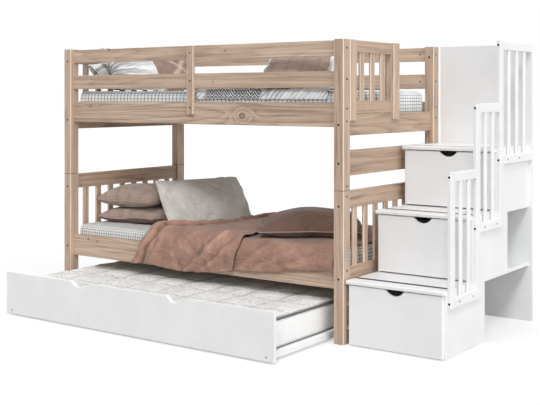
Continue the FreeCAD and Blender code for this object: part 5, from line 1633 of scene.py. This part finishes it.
# ---------------------------------------------------------------- bedding
class Bedding:
    """All the soft pieces of the three beds."""

    mattresses = (
        Mattress("lower_mattress", SMALL_CHECK, "frame", "check_sheet", seed=3),
        Mattress("upper_mattress", LARGE_CHECK, "frame", "check_sheet", side_stretch=1.45,
                 pucker=0.004, seed=5),
        Mattress("trundle_mattress", TICKING, "trundle", "white_ticking", ease=0.02,
                 piping_drop=0.007, seed=7))
    pillows = (
        Pillow("stack_lower_cushion", "stacked_cushions", 1, (0.430, 0.460, 0.112), 5, 0,
               TAUPE_LIGHT, "taupe_linen", flatten=0.3, piping=0.0028, dents=0.010,
               fullness=0.50, upper_share=0.62, under_finish=BROWN_BAND, seed=11),
        Pillow("stack_upper_cushion", "stacked_cushions", 0, (0.400, 0.460, 0.152), 7, 0,
               TAUPE_LIGHT, "taupe_linen", flatten=0.2, piping=0.0028, dents=0.012,
               fullness=0.66, upper_share=0.66, seed=13),
        Pillow("large_pillow_soft", "large_pillow", 0, (0.612, 0.322, 0.094), 71, 53, GREY_SLUB,
               "grey_linen", cell=0.009, dents=0.014, dent_size=0.050, pucker=0.009, seed=17,
               outline=0.0, fullness=0.62,
               creases=(Fold((0.27, -0.01), (0.05, 0.06), 0.013, -0.026, 0.012),
                        Fold((-0.02, -0.15), (-0.07, -0.04), 0.010, 0.012, 0.01),
                        Fold((-0.10, -0.15), (-0.16, -0.04), 0.010, 0.012, 0.01),
                        Fold((-0.19, -0.15), (-0.24, -0.04), 0.010, 0.012, 0.0))),
        Pillow("foot_cushion_soft", "foot_cushion", 0, (0.590, 0.480, 0.162), 35, 0, UMBER,
               "taupe_linen", dents=0.004, dent_size=0.2, pucker=0.003, piping=0.0034,
               cord=TAUPE, fullness=0.95, flatten=0.3, upper_share=0.66, seed=19, fill=0.8),
        Pillow("head_pillow_check", "upper_pillows", 0, (0.410, 0.240, 0.115), 88, 37,
               PILLOW_CHECK, "grey_linen", outline=0.05, seed=23),
        Pillow("head_pillow_brown", "upper_pillows", 1, (0.380, 0.320, 0.100), 88, 52, CROSSED,
               "grey_linen", dents=0.016, dent_size=0.14, pucker=0.009, seed=29, piping=0.0028,
               creases=(Fold((-0.17, 0.10), (0.02, -0.04), 0.018, 0.022, 0.01),
                        Fold((-0.10, 0.14), (0.08, 0.02), 0.016, 0.020, -0.01))),
        Pillow("head_pillow_white", "upper_pillows", 2, (0.400, 0.330, 0.100), 86, 53,
               WHITE_COTTON, "grey_linen", dents=0.010, pucker=0.005, outline=0.05, seed=31),
        Pillow("foot_pillow_white", "upper_pillows", 3, (0.490, 0.225, 0.090), 12, 50,
               WHITE_COTTON, "grey_linen", dents=0.008, pucker=0.005, outline=0.05, seed=37,
               nudge=(-0.022, 0.0, 0.0)),
        Pillow("foot_pillow_brown", "upper_pillows", 4, (0.355, 0.240, 0.080), 12, 50, TAUPE,
               "grey_linen", dents=0.010, pucker=0.010, outline=0.05, seed=41,
               nudge=(-0.026, 0.0, 0.0)))

    def build(self) -> None:
        """Makes everything soft."""
        for mattress in self.mattresses:
            mattress.build()
        Quilt().build()
        LowerBlanket().build()
        UpperBlanket().build()
        for pillow in self.pillows:
            piece = pillow.build()
            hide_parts(pillow.node)


# ---------------------------------------------------------------- studio
@dataclass(frozen=True)
class Lamp:
    """Sun lamp that shines from a direction, with a soft spread in degrees."""

    name: str
    strength: float
    source: tuple[float, float, float]
    spread: float

    def place(self) -> None:
        """Hangs the lamp."""
        data = bpy.data.lights.new(self.name, "SUN")
        data.energy = self.strength
        data.angle = math.radians(self.spread)
        lamp = stand(self.name, data)
        lamp.rotation_mode = "QUATERNION"
        lamp.rotation_quaternion = Vector(self.source).to_track_quat("Z", "Y")


@dataclass
class Studio:
    """Pale floor, soft lamps and the camera at the photograph's viewing angle."""

    camera_place: tuple[float, float, float] = (4.6432, -4.2899, 1.2489)
    camera_turn: float = 35.64
    lens: float = 66.69
    sensor: float = 36.0
    shift_up: float = -0.1964
    lamps: tuple[Lamp, ...] = (Lamp("key", 1.27, (0.30, -0.70, 0.65), 14.0),
                               Lamp("fill", 2.12, (0.93, -0.28, 0.24), 60.0),
                               Lamp("top", 1.10, (0.0, 0.0, 1.0), 70.0),
                               Lamp("back", 0.70, (-0.45, 0.80, 0.40), 60.0))
    world_light: float = 0.30
    floor_half: float = 40.0
    floor_white: float = 0.45
    floor_seen: float = 0.93
    floor_bounce: float = 0.50

    def camera(self) -> None:
        """Level camera with a vertical shift, as the photograph has it."""
        data = bpy.data.cameras.new("camera")
        data.lens = self.lens
        data.sensor_width = self.sensor
        data.shift_y = self.shift_up
        camera = stand("camera", data)
        camera.location = Vector(np.array(self.camera_place) + BED_CORNER)
        camera.rotation_euler = (math.pi / 2, 0.0, math.radians(self.camera_turn))
        bpy.context.scene.camera = camera

    def world(self) -> None:
        """Even world light, which is white where the camera or a gloss sees it."""
        world = bpy.data.worlds.new("studio")
        world.use_nodes = True
        bpy.context.scene.world = world
        tree = Tree(world.node_tree)
        path = tree.node("LightPath").outputs
        seen = tree.combine("MAXIMUM", [path[f"Is {kind} Ray"] for kind in
                                        ("Camera", "Glossy", "Transmission")])
        strength = tree.node("MapRange", {"Value": seen, "To Min": self.world_light,
                                          "To Max": 1.0})
        tree.fill(world.node_tree.nodes["Background"], {
            "Color": grey(1.0), "Strength": strength.outputs[0]})

    def floor(self) -> None:
        """Wide pale floor."""
        half = self.floor_half
        mesh = bpy.data.meshes.new("floor")
        mesh.from_pydata([(-half, -half, 0), (half, -half, 0), (half, half, 0), (-half, half, 0)],
                         [], [(0, 1, 2, 3)])
        floor = stand("floor", mesh)
        material = bpy.data.materials.new("floor")
        material.use_nodes = True
        shader = material.node_tree.nodes["Principled BSDF"]
        tree = Tree(material.node_tree)
        camera_ray = tree.node("LightPath").outputs["Is Camera Ray"]
        tree.fill(shader, {"Roughness": 0.9, "Specular IOR Level": 0.1, "Base Color": tree.blend(
            camera_ray, grey(self.floor_bounce), grey(self.floor_seen))})
        white = tree.node("Emission", {"Color": grey(1.0), "Strength": 1.0})
        mixed = tree.node("MixShader", {0: tree.times(camera_ray, self.floor_white),
                                        1: shader.outputs[0], 2: white.outputs[0]})
        tree.fill(tree.tree.nodes["Material Output"], {"Surface": mixed.outputs[0]})
        mesh.materials.append(material)

    def build(self) -> None:
        """Sets the stage."""
        bpy.context.scene.view_settings.view_transform = "Standard"
        self.camera()
        self.world()
        self.floor()
        for lamp in self.lamps:
            lamp.place()


def main() -> None:
    """Builds the scene: stage, hard finishes, bedding."""
    logging.basicConfig(level=logging.INFO, format="%(message)s")
    Studio().build()
    Carpentry().dress()
    Bedding().build()


if __name__ == "__main__":
    main()
